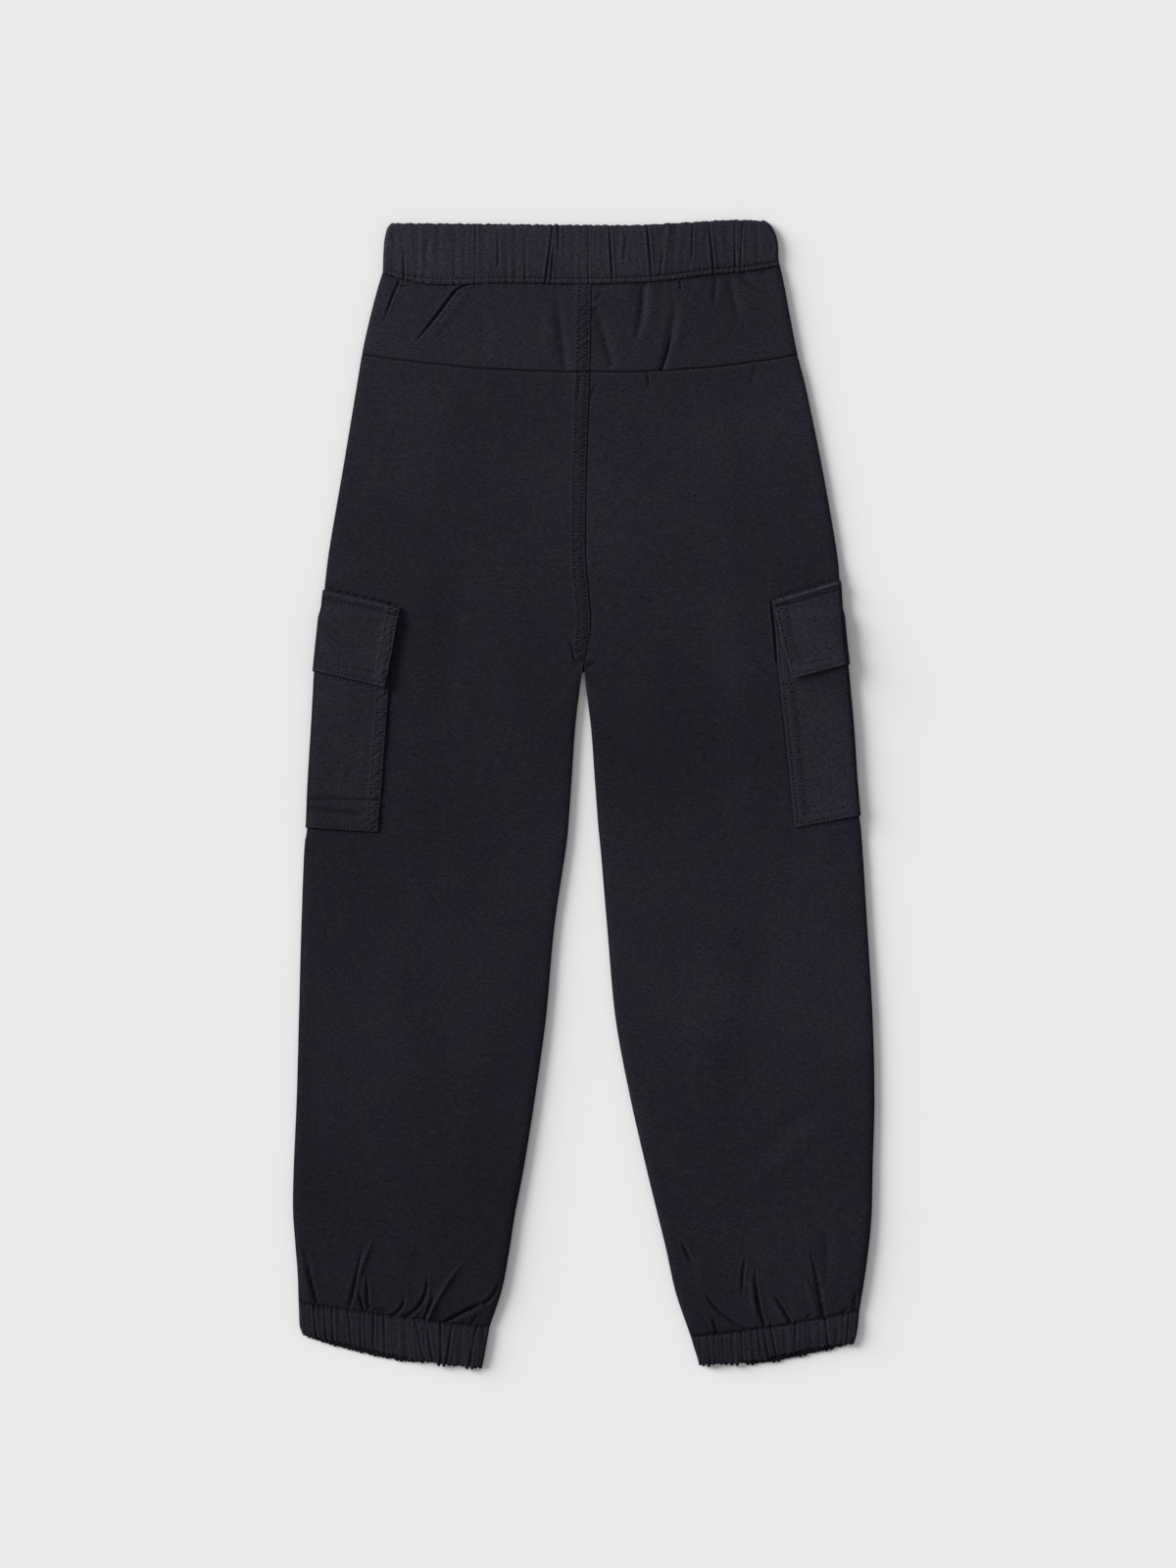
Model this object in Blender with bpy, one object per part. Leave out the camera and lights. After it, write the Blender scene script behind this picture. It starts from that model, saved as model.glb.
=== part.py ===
"""Balloon trousers in cotton twill, laid out flat with the back side up.

Metres, +Z up. The waist points to +Y, the wearer's left leg lies towards -X, the underside rests on z = 0
and the origin is in the middle of the outline. Each piece is a closed wall of cloth, made of rows of
points that are worked out from the sizes below, which are all in millimetres.
"""

from collections import namedtuple

import bmesh
import bpy
import numpy as np
from mathutils import Matrix
from mathutils.bvhtree import BVHTree

MM = 0.001

# ---------------------------------------------------------------- the cloth
TWILL = 1.0  # wall of one panel
WAIST_CASING = 1.9  # twill folded over the waist elastic, without its crown
CUFF_CASING = 1.8  # twill folded over the cuff elastic, without its crown
SEAM_GAP = 0.3  # clearance between two pieces that are sewn together
PLY = TWILL + SEAM_GAP  # height that one more layer of twill takes

ROLL = 7.0  # width over which a leg's edge rounds down to its side seam
RIM = 1.2  # width over which a wall thins to its rounded rim
RIM_SHARE = 0.5  # thickness left at the rim
EDGE_LIFT = 1.0  # how far the lowest layer curls up at the side seams
FRONT_REACH = 68.0  # how far the pockets and flaps run under the front of a leg
LEVEL_MARGIN = 6.0  # a layer stays raised this far past the piece that it lies on
RAMP = 10.0  # and comes down over this width

FELL_WIDTH = 9.3  # seam allowance of the seat seam, laid to the left and stitched down
FELL_HEIGHT = 0.8
FELL_STEP = 1.0  # width over which the panel comes down beside it

# Columns of points, as distances from an edge.
EDGE_STEPS = [0.0, 1.2, 3.0, ROLL]  # they follow the rounded edge of a leg
UNDER_STEPS = [14.0, 22.0, 32.0, 50.0, FRONT_REACH + LEVEL_MARGIN, FRONT_REACH + LEVEL_MARGIN + RAMP]
SEAM_STEPS = {"left": [0.0, 3.0, FELL_WIDTH, FELL_WIDTH + FELL_STEP], "right": [0.0, 3.0, ROLL]}
BACK_COLUMNS = 24  # even columns between those of the two edges
FRONT_COLUMNS = 4
WRAP_COLUMNS = 6
SHARP_ANGLE = 50.0  # degrees between two faces from which their edge looks sharp

NAVY = (0.0152, 0.0160, 0.0232)
NAVY_CASING = (0.0212, 0.0232, 0.0343)
TWILL_ROUGHNESS = 0.9

# ---------------------------------------------------------------- the legs, section by section
# A row is one line across the leg, from the outseam to the inner edge. Down to the crotch the inner edge
# is the seat seam, and its x is left to SEAT_SEAM (None). `bow` is how far the middle of the line lies
# above its ends, and `air` is the free height between the front and the back of the leg.
Section = namedtuple("Section", "name outer_x outer_y inner_x inner_y bow air")

LEFT_SECTIONS = [
    Section("waist seam", -154.6, 399.2, None, 391.8, 0.0, 1.8),
    Section("gathered yoke", -159.2, 384.0, None, 379.0, 0.0, 2.7),
    Section("yoke middle", -165.3, 360.0, None, 352.0, -1.8, 2.8),
    Section("yoke seam", -170.2, 337.0, None, 323.8, -3.7, 2.5),
    Section("upper seat", -175.0, 308.0, None, 299.0, -2.2, 2.3),
    Section("seat", -185.0, 248.0, None, 243.0, -1.0, 2.2),
    Section("lower seat", -195.2, 188.0, None, 186.0, 0.0, 2.2),
    Section("flap top", -198.9, 157.0, None, 157.0, 0.0, 2.0),
    Section("pocket top", -201.9, 128.6, None, 130.0, 0.0, 2.0),
    Section("crotch", -205.4, 94.5, None, 103.4, -6.0, 2.2),
    Section("thigh", -206.6, 76.0, -3.9, 80.0, 0.0, 2.3),
    Section("lower thigh", -208.2, 48.0, -7.3, 50.0, 0.0, 2.3),
    Section("knee", -210.6, 9.0, -10.0, 10.0, 0.0, 2.3),
    Section("pocket foot", -212.1, -25.0, -12.5, -24.0, -1.0, 2.3),
    Section("below the pocket", -214.4, -43.0, -14.6, -43.0, 0.0, 2.3),
    Section("calf", -216.7, -104.0, -23.3, -102.0, 0.0, 2.5),
    Section("fullest calf", -218.5, -171.0, -29.5, -170.0, 0.0, 2.7),
    Section("lower calf", -220.1, -231.0, -37.7, -230.0, 0.0, 3.0),
    Section("shin", -222.4, -284.0, -46.3, -284.0, 0.0, 3.3),
    Section("lower shin", -223.0, -316.0, -53.3, -321.0, 0.0, 3.5),
    Section("ankle", -221.3, -342.0, -57.5, -348.0, 0.0, 3.6),
    Section("above the cuff", -219.4, -366.0, -63.2, -378.0, -0.6, 3.3),
    Section("cuff seam", -218.7, -387.4, -72.6, -406.2, -1.1, 2.2),
]

RIGHT_SECTIONS = [
    Section("waist seam", 149.2, 405.4, None, 391.8, 0.0, 1.8),
    Section("gathered yoke", 152.6, 390.0, None, 379.0, 0.0, 2.7),
    Section("yoke middle", 157.4, 364.0, None, 352.0, -2.0, 2.8),
    Section("yoke seam", 162.8, 336.6, None, 323.8, -4.1, 2.5),
    Section("upper seat", 169.9, 308.0, None, 299.0, -2.4, 2.3),
    Section("seat", 182.1, 248.0, None, 243.0, -1.0, 2.2),
    Section("lower seat", 192.5, 188.0, None, 186.0, 0.0, 2.2),
    Section("flap top", 194.8, 164.0, None, 157.0, 0.0, 2.0),
    Section("pocket top", 197.1, 128.6, None, 130.0, 0.0, 2.0),
    Section("crotch", 200.4, 98.0, None, 103.4, -6.0, 2.2),
    Section("thigh", 202.4, 78.0, 1.4, 80.0, 0.0, 2.3),
    Section("lower thigh", 204.9, 50.0, 5.0, 50.0, 0.0, 2.3),
    Section("knee", 207.4, 12.0, 7.9, 10.0, 0.0, 2.3),
    Section("pocket foot", 209.9, -16.0, 10.4, -24.0, 0.0, 2.3),
    Section("below the pocket", 212.0, -35.0, 12.3, -43.0, 0.0, 2.3),
    Section("calf", 216.1, -100.0, 17.3, -102.0, 0.0, 2.5),
    Section("fullest calf", 220.1, -168.0, 23.5, -170.0, 0.0, 2.7),
    Section("lower calf", 221.6, -230.0, 34.6, -230.0, 0.0, 3.0),
    Section("shin", 220.3, -284.0, 46.9, -284.0, 0.0, 3.3),
    Section("lower shin", 219.5, -320.0, 55.9, -321.0, 0.0, 3.5),
    Section("ankle", 217.3, -345.0, 62.5, -348.0, 0.0, 3.6),
    Section("above the cuff", 213.8, -371.0, 69.6, -380.0, -1.0, 3.3),
    Section("cuff seam", 210.1, -393.4, 81.1, -413.7, -2.2, 2.2),
]

SECTION_NAMES = [section.name for section in LEFT_SECTIONS]
YOKE_SEAM = SECTION_NAMES.index("yoke seam")
CROTCH = SECTION_NAMES.index("crotch")
CALF = SECTION_NAMES.index("calf")
CUFF_SEAM = SECTION_NAMES.index("cuff seam")

# Lines of points across a panel, by section number. Half numbers lie between two sections.
YOKE_LINES = np.linspace(0.0, YOKE_SEAM, 8)
LEG_LINES = np.concatenate(
    [
        np.arange(YOKE_SEAM, CROTCH),
        [CROTCH - 0.5],
        np.arange(CROTCH, CALF),
        np.arange(CALF, CUFF_SEAM + 0.5, 0.5),
    ]
)
FRONT_LINES = np.concatenate([np.arange(0, YOKE_SEAM), LEG_LINES])

LinePoint = namedtuple("LinePoint", "x y")

# The centre-back seam, from the waistband to the crotch.
SEAT_SEAM = [
    LinePoint(5.2, 391.8),
    LinePoint(4.1, 323.8),
    LinePoint(2.1, 266.6),
    LinePoint(0.6, 203.6),
    LinePoint(1.4, 171.4),
    LinePoint(4.6, 139.9),
    LinePoint(3.8, 118.9),
    LinePoint(-0.2, 103.4),
]

# The upper and lower edges of the waistband, from the left side seam to the right one.
WAIST_TOP = [
    LinePoint(-147.4, 437.4),
    LinePoint(-87.4, 437.0),
    LinePoint(2.6, 436.1),
    LinePoint(40.1, 436.1),
    LinePoint(77.6, 438.0),
    LinePoint(115.1, 439.9),
    LinePoint(138.5, 439.3),
]
WAIST_SEAM = [
    LinePoint(-154.6, 399.2),
    LinePoint(-138.4, 394.6),
    LinePoint(-128.6, 392.6),
    LinePoint(-60.0, 392.2),
    LinePoint(17.6, 391.6),
    LinePoint(61.1, 394.1),
    LinePoint(95.6, 399.0),
    LinePoint(122.6, 401.2),
    LinePoint(149.2, 405.4),
]

# ---------------------------------------------------------------- waistband and cuffs
# A row of the waistband: how far down it lies, where its ends are, and how far the elastic crowns it.
WaistRow = namedtuple("WaistRow", "name share left_x right_x crown")
WAIST_ROWS = [
    WaistRow("top edge", 0.00, -147.4, 136.5, -0.7),
    WaistRow("turn", 0.05, -149.4, 139.8, 0.2),
    WaistRow("upper", 0.25, -152.4, 145.2, 0.8),
    WaistRow("middle", 0.55, -153.8, 147.9, 0.9),
    WaistRow("lower", 0.82, -154.2, 148.2, 0.7),
    WaistRow("stitch row", 0.91, -154.3, 148.4, 0.1),
    WaistRow("lip", 1.00, -154.6, 149.2, 0.5),
]

# A gather is a crease that runs down a casing, between the x of its two ends.
Gather = namedtuple("Gather", "top_x foot_x depth half_width")
WAIST_GATHERS = [
    Gather(-145.4, -145.9, 0.5, 1.8),
    Gather(-138.4, -138.2, 0.9, 1.8),
    Gather(-128.1, -128.6, 0.3, 2.0),
    Gather(-119.6, -121.9, 0.4, 2.0),
    Gather(-111.4, -110.6, 0.3, 2.0),
    Gather(-99.0, -99.4, 0.4, 2.4),
    Gather(-83.6, -84.4, 0.6, 2.0),
    Gather(-76.9, -76.1, 0.5, 1.8),
    Gather(-66.0, -65.6, 1.0, 2.2),
    Gather(-58.9, -58.1, 0.4, 1.6),
    Gather(-53.3, -53.6, 0.4, 1.6),
    Gather(-44.9, -44.6, 0.7, 2.2),
    Gather(-24.1, -30.4, 1.3, 2.0),
    Gather(-19.9, -20.6, 0.8, 1.8),
    Gather(2.3, 2.6, 0.4, 2.2),
    Gather(18.9, 21.0, 1.3, 2.2),
    Gather(31.1, 29.6, 0.6, 2.2),
    Gather(48.2, 50.9, 1.3, 2.2),
    Gather(61.0, 56.6, 0.5, 1.6),
    Gather(69.0, 65.6, 0.6, 2.2),
    Gather(83.6, 80.9, 0.9, 2.2),
    Gather(95.0, 98.7, 1.3, 2.2),
    Gather(103.1, 105.4, 0.6, 1.6),
    Gather(114.7, 114.2, 0.9, 1.4),
    Gather(120.4, 118.9, 0.8, 1.4),
    Gather(131.6, 133.1, 0.4, 2.2),
]
FRONT_WAIST_COLUMNS = 48
WAIST_GATHER_FADE = 0.2  # share of a gather's depth that is gone at the foot of the casing
CUFF_GATHER_FADE = 0.5

# A row of a cuff, from its outseam to its inseam.
CuffRow = namedtuple("CuffRow", "name outer_x outer_y inner_x inner_y bow crown")
LEFT_CUFF = [
    CuffRow("seam", -218.7, -387.7, -72.6, -406.5, -1.1, 0.0),
    CuffRow("upper", -218.4, -394.5, -73.8, -413.2, -1.8, 0.7),
    CuffRow("lower", -217.8, -406.0, -76.4, -428.0, -3.0, 0.7),
    CuffRow("hem", -215.0, -412.9, -78.5, -438.2, -4.2, -0.3),
]
RIGHT_CUFF = [
    CuffRow("seam", 210.1, -393.7, 81.1, -414.0, -2.2, 0.0),
    CuffRow("upper", 209.5, -400.6, 82.7, -419.2, -2.2, 0.7),
    CuffRow("lower", 208.2, -411.0, 85.6, -428.5, -2.5, 0.7),
    CuffRow("hem", 206.1, -419.3, 87.5, -435.1, -3.0, -0.3),
]
FRONT_CUFF_DROP = {"left": 4.0, "right": 2.6}  # how far the hidden half shows below the upper one
FRONT_CUFF_COLUMNS = 16

LEFT_CUFF_GATHERS = [
    Gather(-206.3, -202.1, 0.9, 1.8),
    Gather(-199.1, -196.1, 0.6, 1.5),
    Gather(-192.8, -191.4, 0.6, 1.5),
    Gather(-185.6, -184.6, 0.6, 1.5),
    Gather(-179.0, -177.0, 0.8, 1.8),
    Gather(-170.4, -170.0, 0.6, 1.8),
    Gather(-162.4, -162.0, 0.6, 1.8),
    Gather(-155.6, -154.1, 0.8, 1.8),
    Gather(-142.5, -140.0, 0.5, 2.0),
    Gather(-130.9, -121.9, 1.1, 2.0),
    Gather(-120.4, -114.4, 0.9, 1.8),
    Gather(-109.9, -108.1, 1.3, 1.8),
    Gather(-100.1, -102.6, 0.9, 1.6),
    Gather(-81.4, -88.9, 0.9, 1.8),
]
RIGHT_CUFF_GATHERS = [
    Gather(202.1, 200.4, 0.6, 1.5),
    Gather(194.6, 194.0, 0.6, 1.5),
    Gather(184.0, 185.8, 0.9, 1.8),
    Gather(172.1, 173.6, 0.6, 2.0),
    Gather(161.2, 161.6, 0.9, 1.8),
    Gather(152.0, 152.6, 0.5, 1.8),
    Gather(142.4, 145.9, 1.1, 2.0),
    Gather(130.1, 131.6, 0.5, 2.0),
    Gather(120.4, 120.4, 1.1, 1.8),
    Gather(111.0, 112.0, 0.5, 1.8),
    Gather(102.4, 104.4, 0.8, 1.6),
    Gather(94.9, 97.6, 0.7, 1.5),
    Gather(87.6, 91.4, 0.7, 1.4),
]

# ---------------------------------------------------------------- folds of the back panels
# A fold runs from where it dies out to where a seam gathers it. `bend` moves its middle to its left,
# and a negative height is a crease.
Fold = namedtuple("Fold", "start_x start_y end_x end_y bend half_width height")

BACK_FOLDS = {
    "left": [
        Fold(-151.9, 356.0, -139.1, 394.0, 0.0, 4.5, -1.3),
        Fold(-137.0, 338.0, -85.9, 393.0, 5.0, 5.0, -1.9),
        Fold(-120.0, 338.0, -73.0, 392.0, 4.0, 6.0, 1.2),
        Fold(-50.0, 352.0, -46.0, 392.0, 0.0, 6.0, 0.9),
        Fold(-15.4, 330.0, -20.0, 392.0, 0.0, 5.0, -1.0),
        Fold(-120.0, 200.0, -95.0, 324.0, -6.0, 16.0, 0.7),
        Fold(-60.0, 130.0, -30.0, 10.0, 6.0, 14.0, 0.6),
        Fold(-150.0, -90.0, -120.0, -230.0, 8.0, 20.0, 0.8),
        Fold(-70.0, -150.0, -95.0, -300.0, -6.0, 16.0, 0.8),
        Fold(-216.5, -322.0, -206.3, -386.5, 2.0, 5.0, -1.9),
        Fold(-192.0, -300.0, -192.8, -388.0, 0.0, 6.0, 1.3),
        Fold(-158.5, -325.0, -179.0, -389.0, 2.0, 5.5, -1.7),
        Fold(-153.0, -318.0, -171.0, -389.0, 2.0, 5.0, 1.5),
        Fold(-165.8, -357.0, -165.4, -392.0, 0.0, 4.0, -1.1),
        Fold(-121.0, -352.0, -136.5, -397.0, -4.0, 5.0, -1.5),
        Fold(-112.0, -340.0, -128.0, -398.0, -3.0, 5.0, 1.3),
        Fold(-83.0, -342.0, -119.5, -399.5, -2.0, 5.0, -2.1),
        Fold(-76.0, -336.0, -111.0, -400.0, -2.0, 5.5, 1.6),
        Fold(-65.5, -366.0, -108.0, -403.0, 6.0, 4.5, -1.9),
    ],
    "right": [
        Fold(20.0, 336.0, 11.5, 391.0, 0.0, 5.5, -1.0),
        Fold(36.5, 340.0, 45.4, 392.0, -3.0, 5.5, -1.5),
        Fold(58.0, 326.0, 66.5, 393.0, 4.0, 5.0, -1.7),
        Fold(70.0, 330.0, 76.0, 395.0, 3.0, 5.5, 1.2),
        Fold(96.5, 368.0, 99.8, 398.0, 0.0, 4.5, -1.2),
        Fold(120.5, 357.0, 111.0, 399.0, 1.0, 4.5, -1.2),
        Fold(134.0, 340.0, 126.0, 400.0, 1.0, 6.0, 0.9),
        Fold(110.0, 190.0, 95.0, 322.0, 6.0, 16.0, 0.7),
        Fold(60.0, 140.0, 40.0, 20.0, -6.0, 14.0, 0.6),
        Fold(150.0, -80.0, 130.0, -230.0, -8.0, 20.0, 0.8),
        Fold(80.0, -140.0, 100.0, -290.0, 6.0, 16.0, 0.8),
        Fold(73.5, -334.0, 92.0, -410.0, 2.0, 5.0, -1.2),
        Fold(90.5, -368.0, 126.4, -410.5, -4.0, 5.0, -1.9),
        Fold(98.0, -356.0, 133.0, -409.0, -4.0, 5.5, 1.4),
        Fold(124.0, -348.0, 120.4, -388.0, 1.0, 4.5, -1.3),
        Fold(131.0, -350.0, 137.2, -407.0, -1.0, 5.0, -1.7),
        Fold(139.0, -345.0, 146.0, -404.0, -1.0, 5.0, 1.3),
        Fold(145.5, -378.0, 155.5, -403.0, 0.0, 4.5, -1.2),
        Fold(172.0, -350.0, 183.0, -400.0, -3.0, 4.5, -1.8),
        Fold(179.5, -344.0, 191.0, -398.0, -3.0, 5.0, 1.2),
        Fold(206.0, -366.0, 205.5, -395.0, 0.0, 3.5, -1.0),
    ],
}
FOLD_STEPS = 24  # points along a fold from which distances are taken
FOLD_FADE = 0.6  # share of its length over which a fold dies out

# ---------------------------------------------------------------- pockets and flaps
# A row of a piece that wraps round the outseam: it crosses the outseam at outer_y, and ends on the back
# of the leg at (back_x, back_y). Under the front it runs straight in.
WrapRow = namedtuple("WrapRow", "name outer_y back_x back_y")

LEFT_POCKET = [
    WrapRow("top", 128.6, -147.4, 128.6),
    WrapRow("under the flap", 110.0, -148.0, 109.0),
    WrapRow("flap foot", 94.5, -148.7, 92.0),
    WrapRow("below the flap", 76.0, -149.5, 74.0),
    WrapRow("upper", 48.0, -151.6, 46.0),
    WrapRow("middle", 28.0, -153.3, 25.0),
    WrapRow("lower", 9.0, -154.6, 6.0),
    WrapRow("foot", -25.0, -157.8, -28.5),
]
LEFT_FLAP = [
    WrapRow("top", 157.0, -140.6, 143.5),
    WrapRow("fold", 153.0, -141.1, 139.5),
    WrapRow("above the pocket", 133.0, -143.2, 129.5),
    WrapRow("middle", 116.0, -146.3, 110.0),
    WrapRow("above the foot", 103.0, -150.0, 92.0),
    WrapRow("foot", 94.5, -151.9, 81.8),
]
RIGHT_POCKET = [
    WrapRow("top", 128.6, 145.6, 128.6),
    WrapRow("under the flap", 113.0, 146.7, 112.0),
    WrapRow("flap foot", 98.0, 147.9, 97.0),
    WrapRow("below the flap", 78.0, 150.4, 76.0),
    WrapRow("upper", 50.0, 153.9, 47.0),
    WrapRow("middle", 31.0, 155.9, 26.0),
    WrapRow("lower", 12.0, 157.9, 4.0),
    WrapRow("above the foot", -7.0, 160.0, -15.5),
    WrapRow("foot", -15.6, 160.9, -24.8),
]
RIGHT_FLAP = [
    WrapRow("top", 164.0, 143.3, 148.5),
    WrapRow("fold", 160.0, 144.4, 144.5),
    WrapRow("above the pocket", 133.0, 147.6, 129.5),
    WrapRow("middle", 118.0, 151.8, 112.0),
    WrapRow("above the foot", 107.0, 156.6, 95.5),
    WrapRow("foot", 99.8, 158.6, 88.9),
]

CLEAR_HEIGHT = 50.0  # a height well clear of the whole garment


class Side:
    """One leg, with its tables. `inward` is the direction of x from its outseam to its inner edge."""

    def __init__(self, name, inward, sections, pocket, flap, cuff, cuff_gathers):
        self.name = name
        self.inward = inward
        self.pocket = pocket
        self.flap = flap
        self.cuff = cuff
        self.cuff_gathers = cuff_gathers
        self.outer_x = np.array([row.outer_x for row in sections])
        self.outer_y = np.array([row.outer_y for row in sections])
        self.inner_y = np.array([row.inner_y for row in sections])
        seam_half = inward * SEAM_GAP / 2
        self.inner_x = np.array(
            [
                seat_seam_x(row.inner_y) - seam_half if row.inner_x is None else row.inner_x
                for row in sections
            ]
        )
        self.bow = np.array([row.bow for row in sections])
        self.air = np.array([row.air for row in sections])

    def column(self, name, station):
        """A column of the section table, read smoothly at a station: a row's number with a fraction."""
        values = getattr(self, name)
        return smooth_line(np.arange(len(values)), values, station)


def smooth_line(stations, values, at):
    """A smooth curve through (stations, values), read at `at`. Stations rise."""
    stations = np.asarray(stations, float)
    values = np.asarray(values, float)
    at = np.clip(np.asarray(at, float), stations[0], stations[-1])
    slopes = np.gradient(values, stations)
    left = np.clip(np.searchsorted(stations, at) - 1, 0, len(stations) - 2)
    step = stations[left + 1] - stations[left]
    s = (at - stations[left]) / step
    start = values[left] * (1 + 2 * s) * (1 - s) ** 2
    end = values[left + 1] * s * s * (3 - 2 * s)
    bend = step * (slopes[left] * s * (1 - s) ** 2 - slopes[left + 1] * s * s * (1 - s))
    return start + end + bend


def line_y(line, x):
    return smooth_line([point.x for point in line], [point.y for point in line], x)


def seat_seam_x(y):
    return smooth_line([-point.y for point in SEAT_SEAM], [point.x for point in SEAT_SEAM], -y)


def smoothstep(value):
    value = np.clip(value, 0.0, 1.0)
    return value * value * (3 - 2 * value)


def round_rise(distance, width):
    """0 at an edge and 1 from `width` inwards, on a quarter of an ellipse."""
    return np.sqrt(1 - (1 - np.clip(distance / width, 0.0, 1.0)) ** 2)


def thinned(distance, wall):
    """The wall's thickness, which rounds off towards its rim."""
    return wall * (RIM_SHARE + (1 - RIM_SHARE) * round_rise(distance, RIM))


def inside(value, low, high):
    """1 between low and high, with a margin, falling to 0 over the ramp on both sides."""
    past = np.maximum(low - value, value - high) - LEVEL_MARGIN
    return 1 - smoothstep(past / RAMP)


def fold_height(folds, x, y):
    """The height that the folds add at (x, y)."""
    total = np.zeros(np.shape(x))
    along = np.linspace(0.0, 1.0, FOLD_STEPS)
    for fold in folds:
        run = np.array([fold.end_x - fold.start_x, fold.end_y - fold.start_y])
        sideways = np.array([-run[1], run[0]]) / np.hypot(*run) * fold.bend
        arch = 4 * along * (1 - along)
        path_x = fold.start_x + run[0] * along + sideways[0] * arch
        path_y = fold.start_y + run[1] * along + sideways[1] * arch
        distances = np.hypot(x[..., None] - path_x, y[..., None] - path_y)
        nearest = distances.argmin(-1)
        strength = smoothstep(along[nearest] / FOLD_FADE)
        total += fold.height * strength * np.exp(-((distances.min(-1) / fold.half_width) ** 2))
    return total


# ---------------------------------------------------------------- the layers of a leg
def wrap_cover(rows, y, from_outseam):
    """1 where a wrapped piece lies under the front of the leg, 0 well away from it."""
    return inside(y, rows[-1].outer_y, rows[0].outer_y) * inside(from_outseam, 0.0, FRONT_REACH)


def edge_curl(distance):
    """How far the lowest layer curls up near its edge."""
    return EDGE_LIFT * (1 - round_rise(distance, ROLL))


def front_floor(side, y, from_outseam, from_inseam):
    """Height of the underside of the front panel, which lies on the pocket and the flap."""
    layers = wrap_cover(side.pocket, y, from_outseam) + wrap_cover(side.flap, y, from_outseam)
    return PLY * layers + edge_curl(from_outseam) + edge_curl(from_inseam)


def leg_lines(side, stations, columns):
    """x, y and the distances from both edges, for lines across the leg at the given stations."""
    outer_x = side.column("outer_x", stations)
    outer_y = side.column("outer_y", stations)
    inner_x = side.column("inner_x", stations)
    inner_y = side.column("inner_y", stations)
    width = np.abs(inner_x - outer_x)
    share = columns(width)
    x = outer_x + (inner_x - outer_x) * share
    chord = outer_y + (inner_y - outer_y) * share
    seam_rise = line_y(WAIST_SEAM, x) - side.outer_y[0] - (side.inner_y[0] - side.outer_y[0]) * share
    near_waist = np.clip(1 - stations / YOKE_SEAM, 0.0, 1.0)
    y = chord + side.column("bow", stations) * 4 * share * (1 - share) + seam_rise * near_waist
    return x, y, share * width, (1 - share) * width


def spaced_columns(outer_steps, inner_steps, between):
    """Shares of the width for columns at fixed distances from both edges and even ones between."""

    def shares(width):
        outer = np.array(outer_steps) / width
        inner = 1 - np.array(inner_steps)[::-1] / width
        fill = np.linspace(0.0, 1.0, between + 2)[1:-1]
        middle = outer[:, -1:] + (inner[:, :1] - outer[:, -1:]) * fill
        return np.concatenate([outer, middle, inner], axis=1)

    return shares


def inseam_distance(stations, from_inner):
    """The distance from the inseam. Along the seat seam nothing rounds off, so there it counts as far."""
    below = smoothstep(stations - CROTCH)
    return np.where(below > 0, from_inner + ROLL * (1 - below), ROLL)


def back_panel(side, name, stations, columns):
    """A back panel between two stations, with the felled seat seam raised on the left side."""
    stations = stations[:, None]
    x, y, from_outseam, from_inner = leg_lines(side, stations, columns)
    from_inseam = inseam_distance(stations, from_inner)
    rise = round_rise(from_outseam, ROLL) * round_rise(from_inseam, ROLL)
    free = np.maximum(0.0, side.column("air", stations) + fold_height(BACK_FOLDS[side.name], x, y)) * rise
    low = front_floor(side, y, from_outseam, from_inseam) + PLY + free
    high = low + thinned(np.minimum(from_outseam, from_inseam), TWILL)
    if side.name == "left":
        felled = (stations < CROTCH) & (from_inner < FELL_WIDTH + SEAM_GAP)
        high = high + FELL_HEIGHT * felled
    if stations[0, 0] > 0:
        y[0] -= SEAM_GAP / 2
    else:
        y[-1] += SEAM_GAP / 2
    return cloth_wall(name, np.dstack([x, y, high]), np.dstack([x, y, low]), NAVY)


def front_panel(side):
    """The hidden front of a leg, waist to cuff."""
    stations = FRONT_LINES[:, None]
    columns = spaced_columns(EDGE_STEPS + UNDER_STEPS, EDGE_STEPS, FRONT_COLUMNS)
    x, y, from_outseam, from_inner = leg_lines(side, stations, columns)
    low = front_floor(side, y, from_outseam, inseam_distance(stations, from_inner))
    name = f"front_leg_{side.name}"
    return cloth_wall(name, np.dstack([x, y, low]), np.dstack([x, y, low + TWILL]), NAVY)


def heights(panel, x, y, from_above):
    """The height of a panel's solid at each (x, y), met from above or from below."""
    start, way = (CLEAR_HEIGHT, -1.0) if from_above else (-CLEAR_HEIGHT, 1.0)
    hits = [panel.tree.ray_cast((a, b, start), (0.0, 0.0, way))[0] for a, b in zip(x, y)]
    return np.array([hit.z for hit in hits])


def outseam_at(y, back, front):
    """x of the leg's outseam at y, and the heights of its top and of its floor there."""
    top, floor = back.outer[:, 0], front.outer[:, 0]
    return (
        np.interp(-y, -top[:, 1], top[:, 0]),
        np.interp(-y, -top[:, 1], top[:, 2]),
        np.interp(-y, -floor[:, 1], floor[:, 2]),
    )


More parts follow.
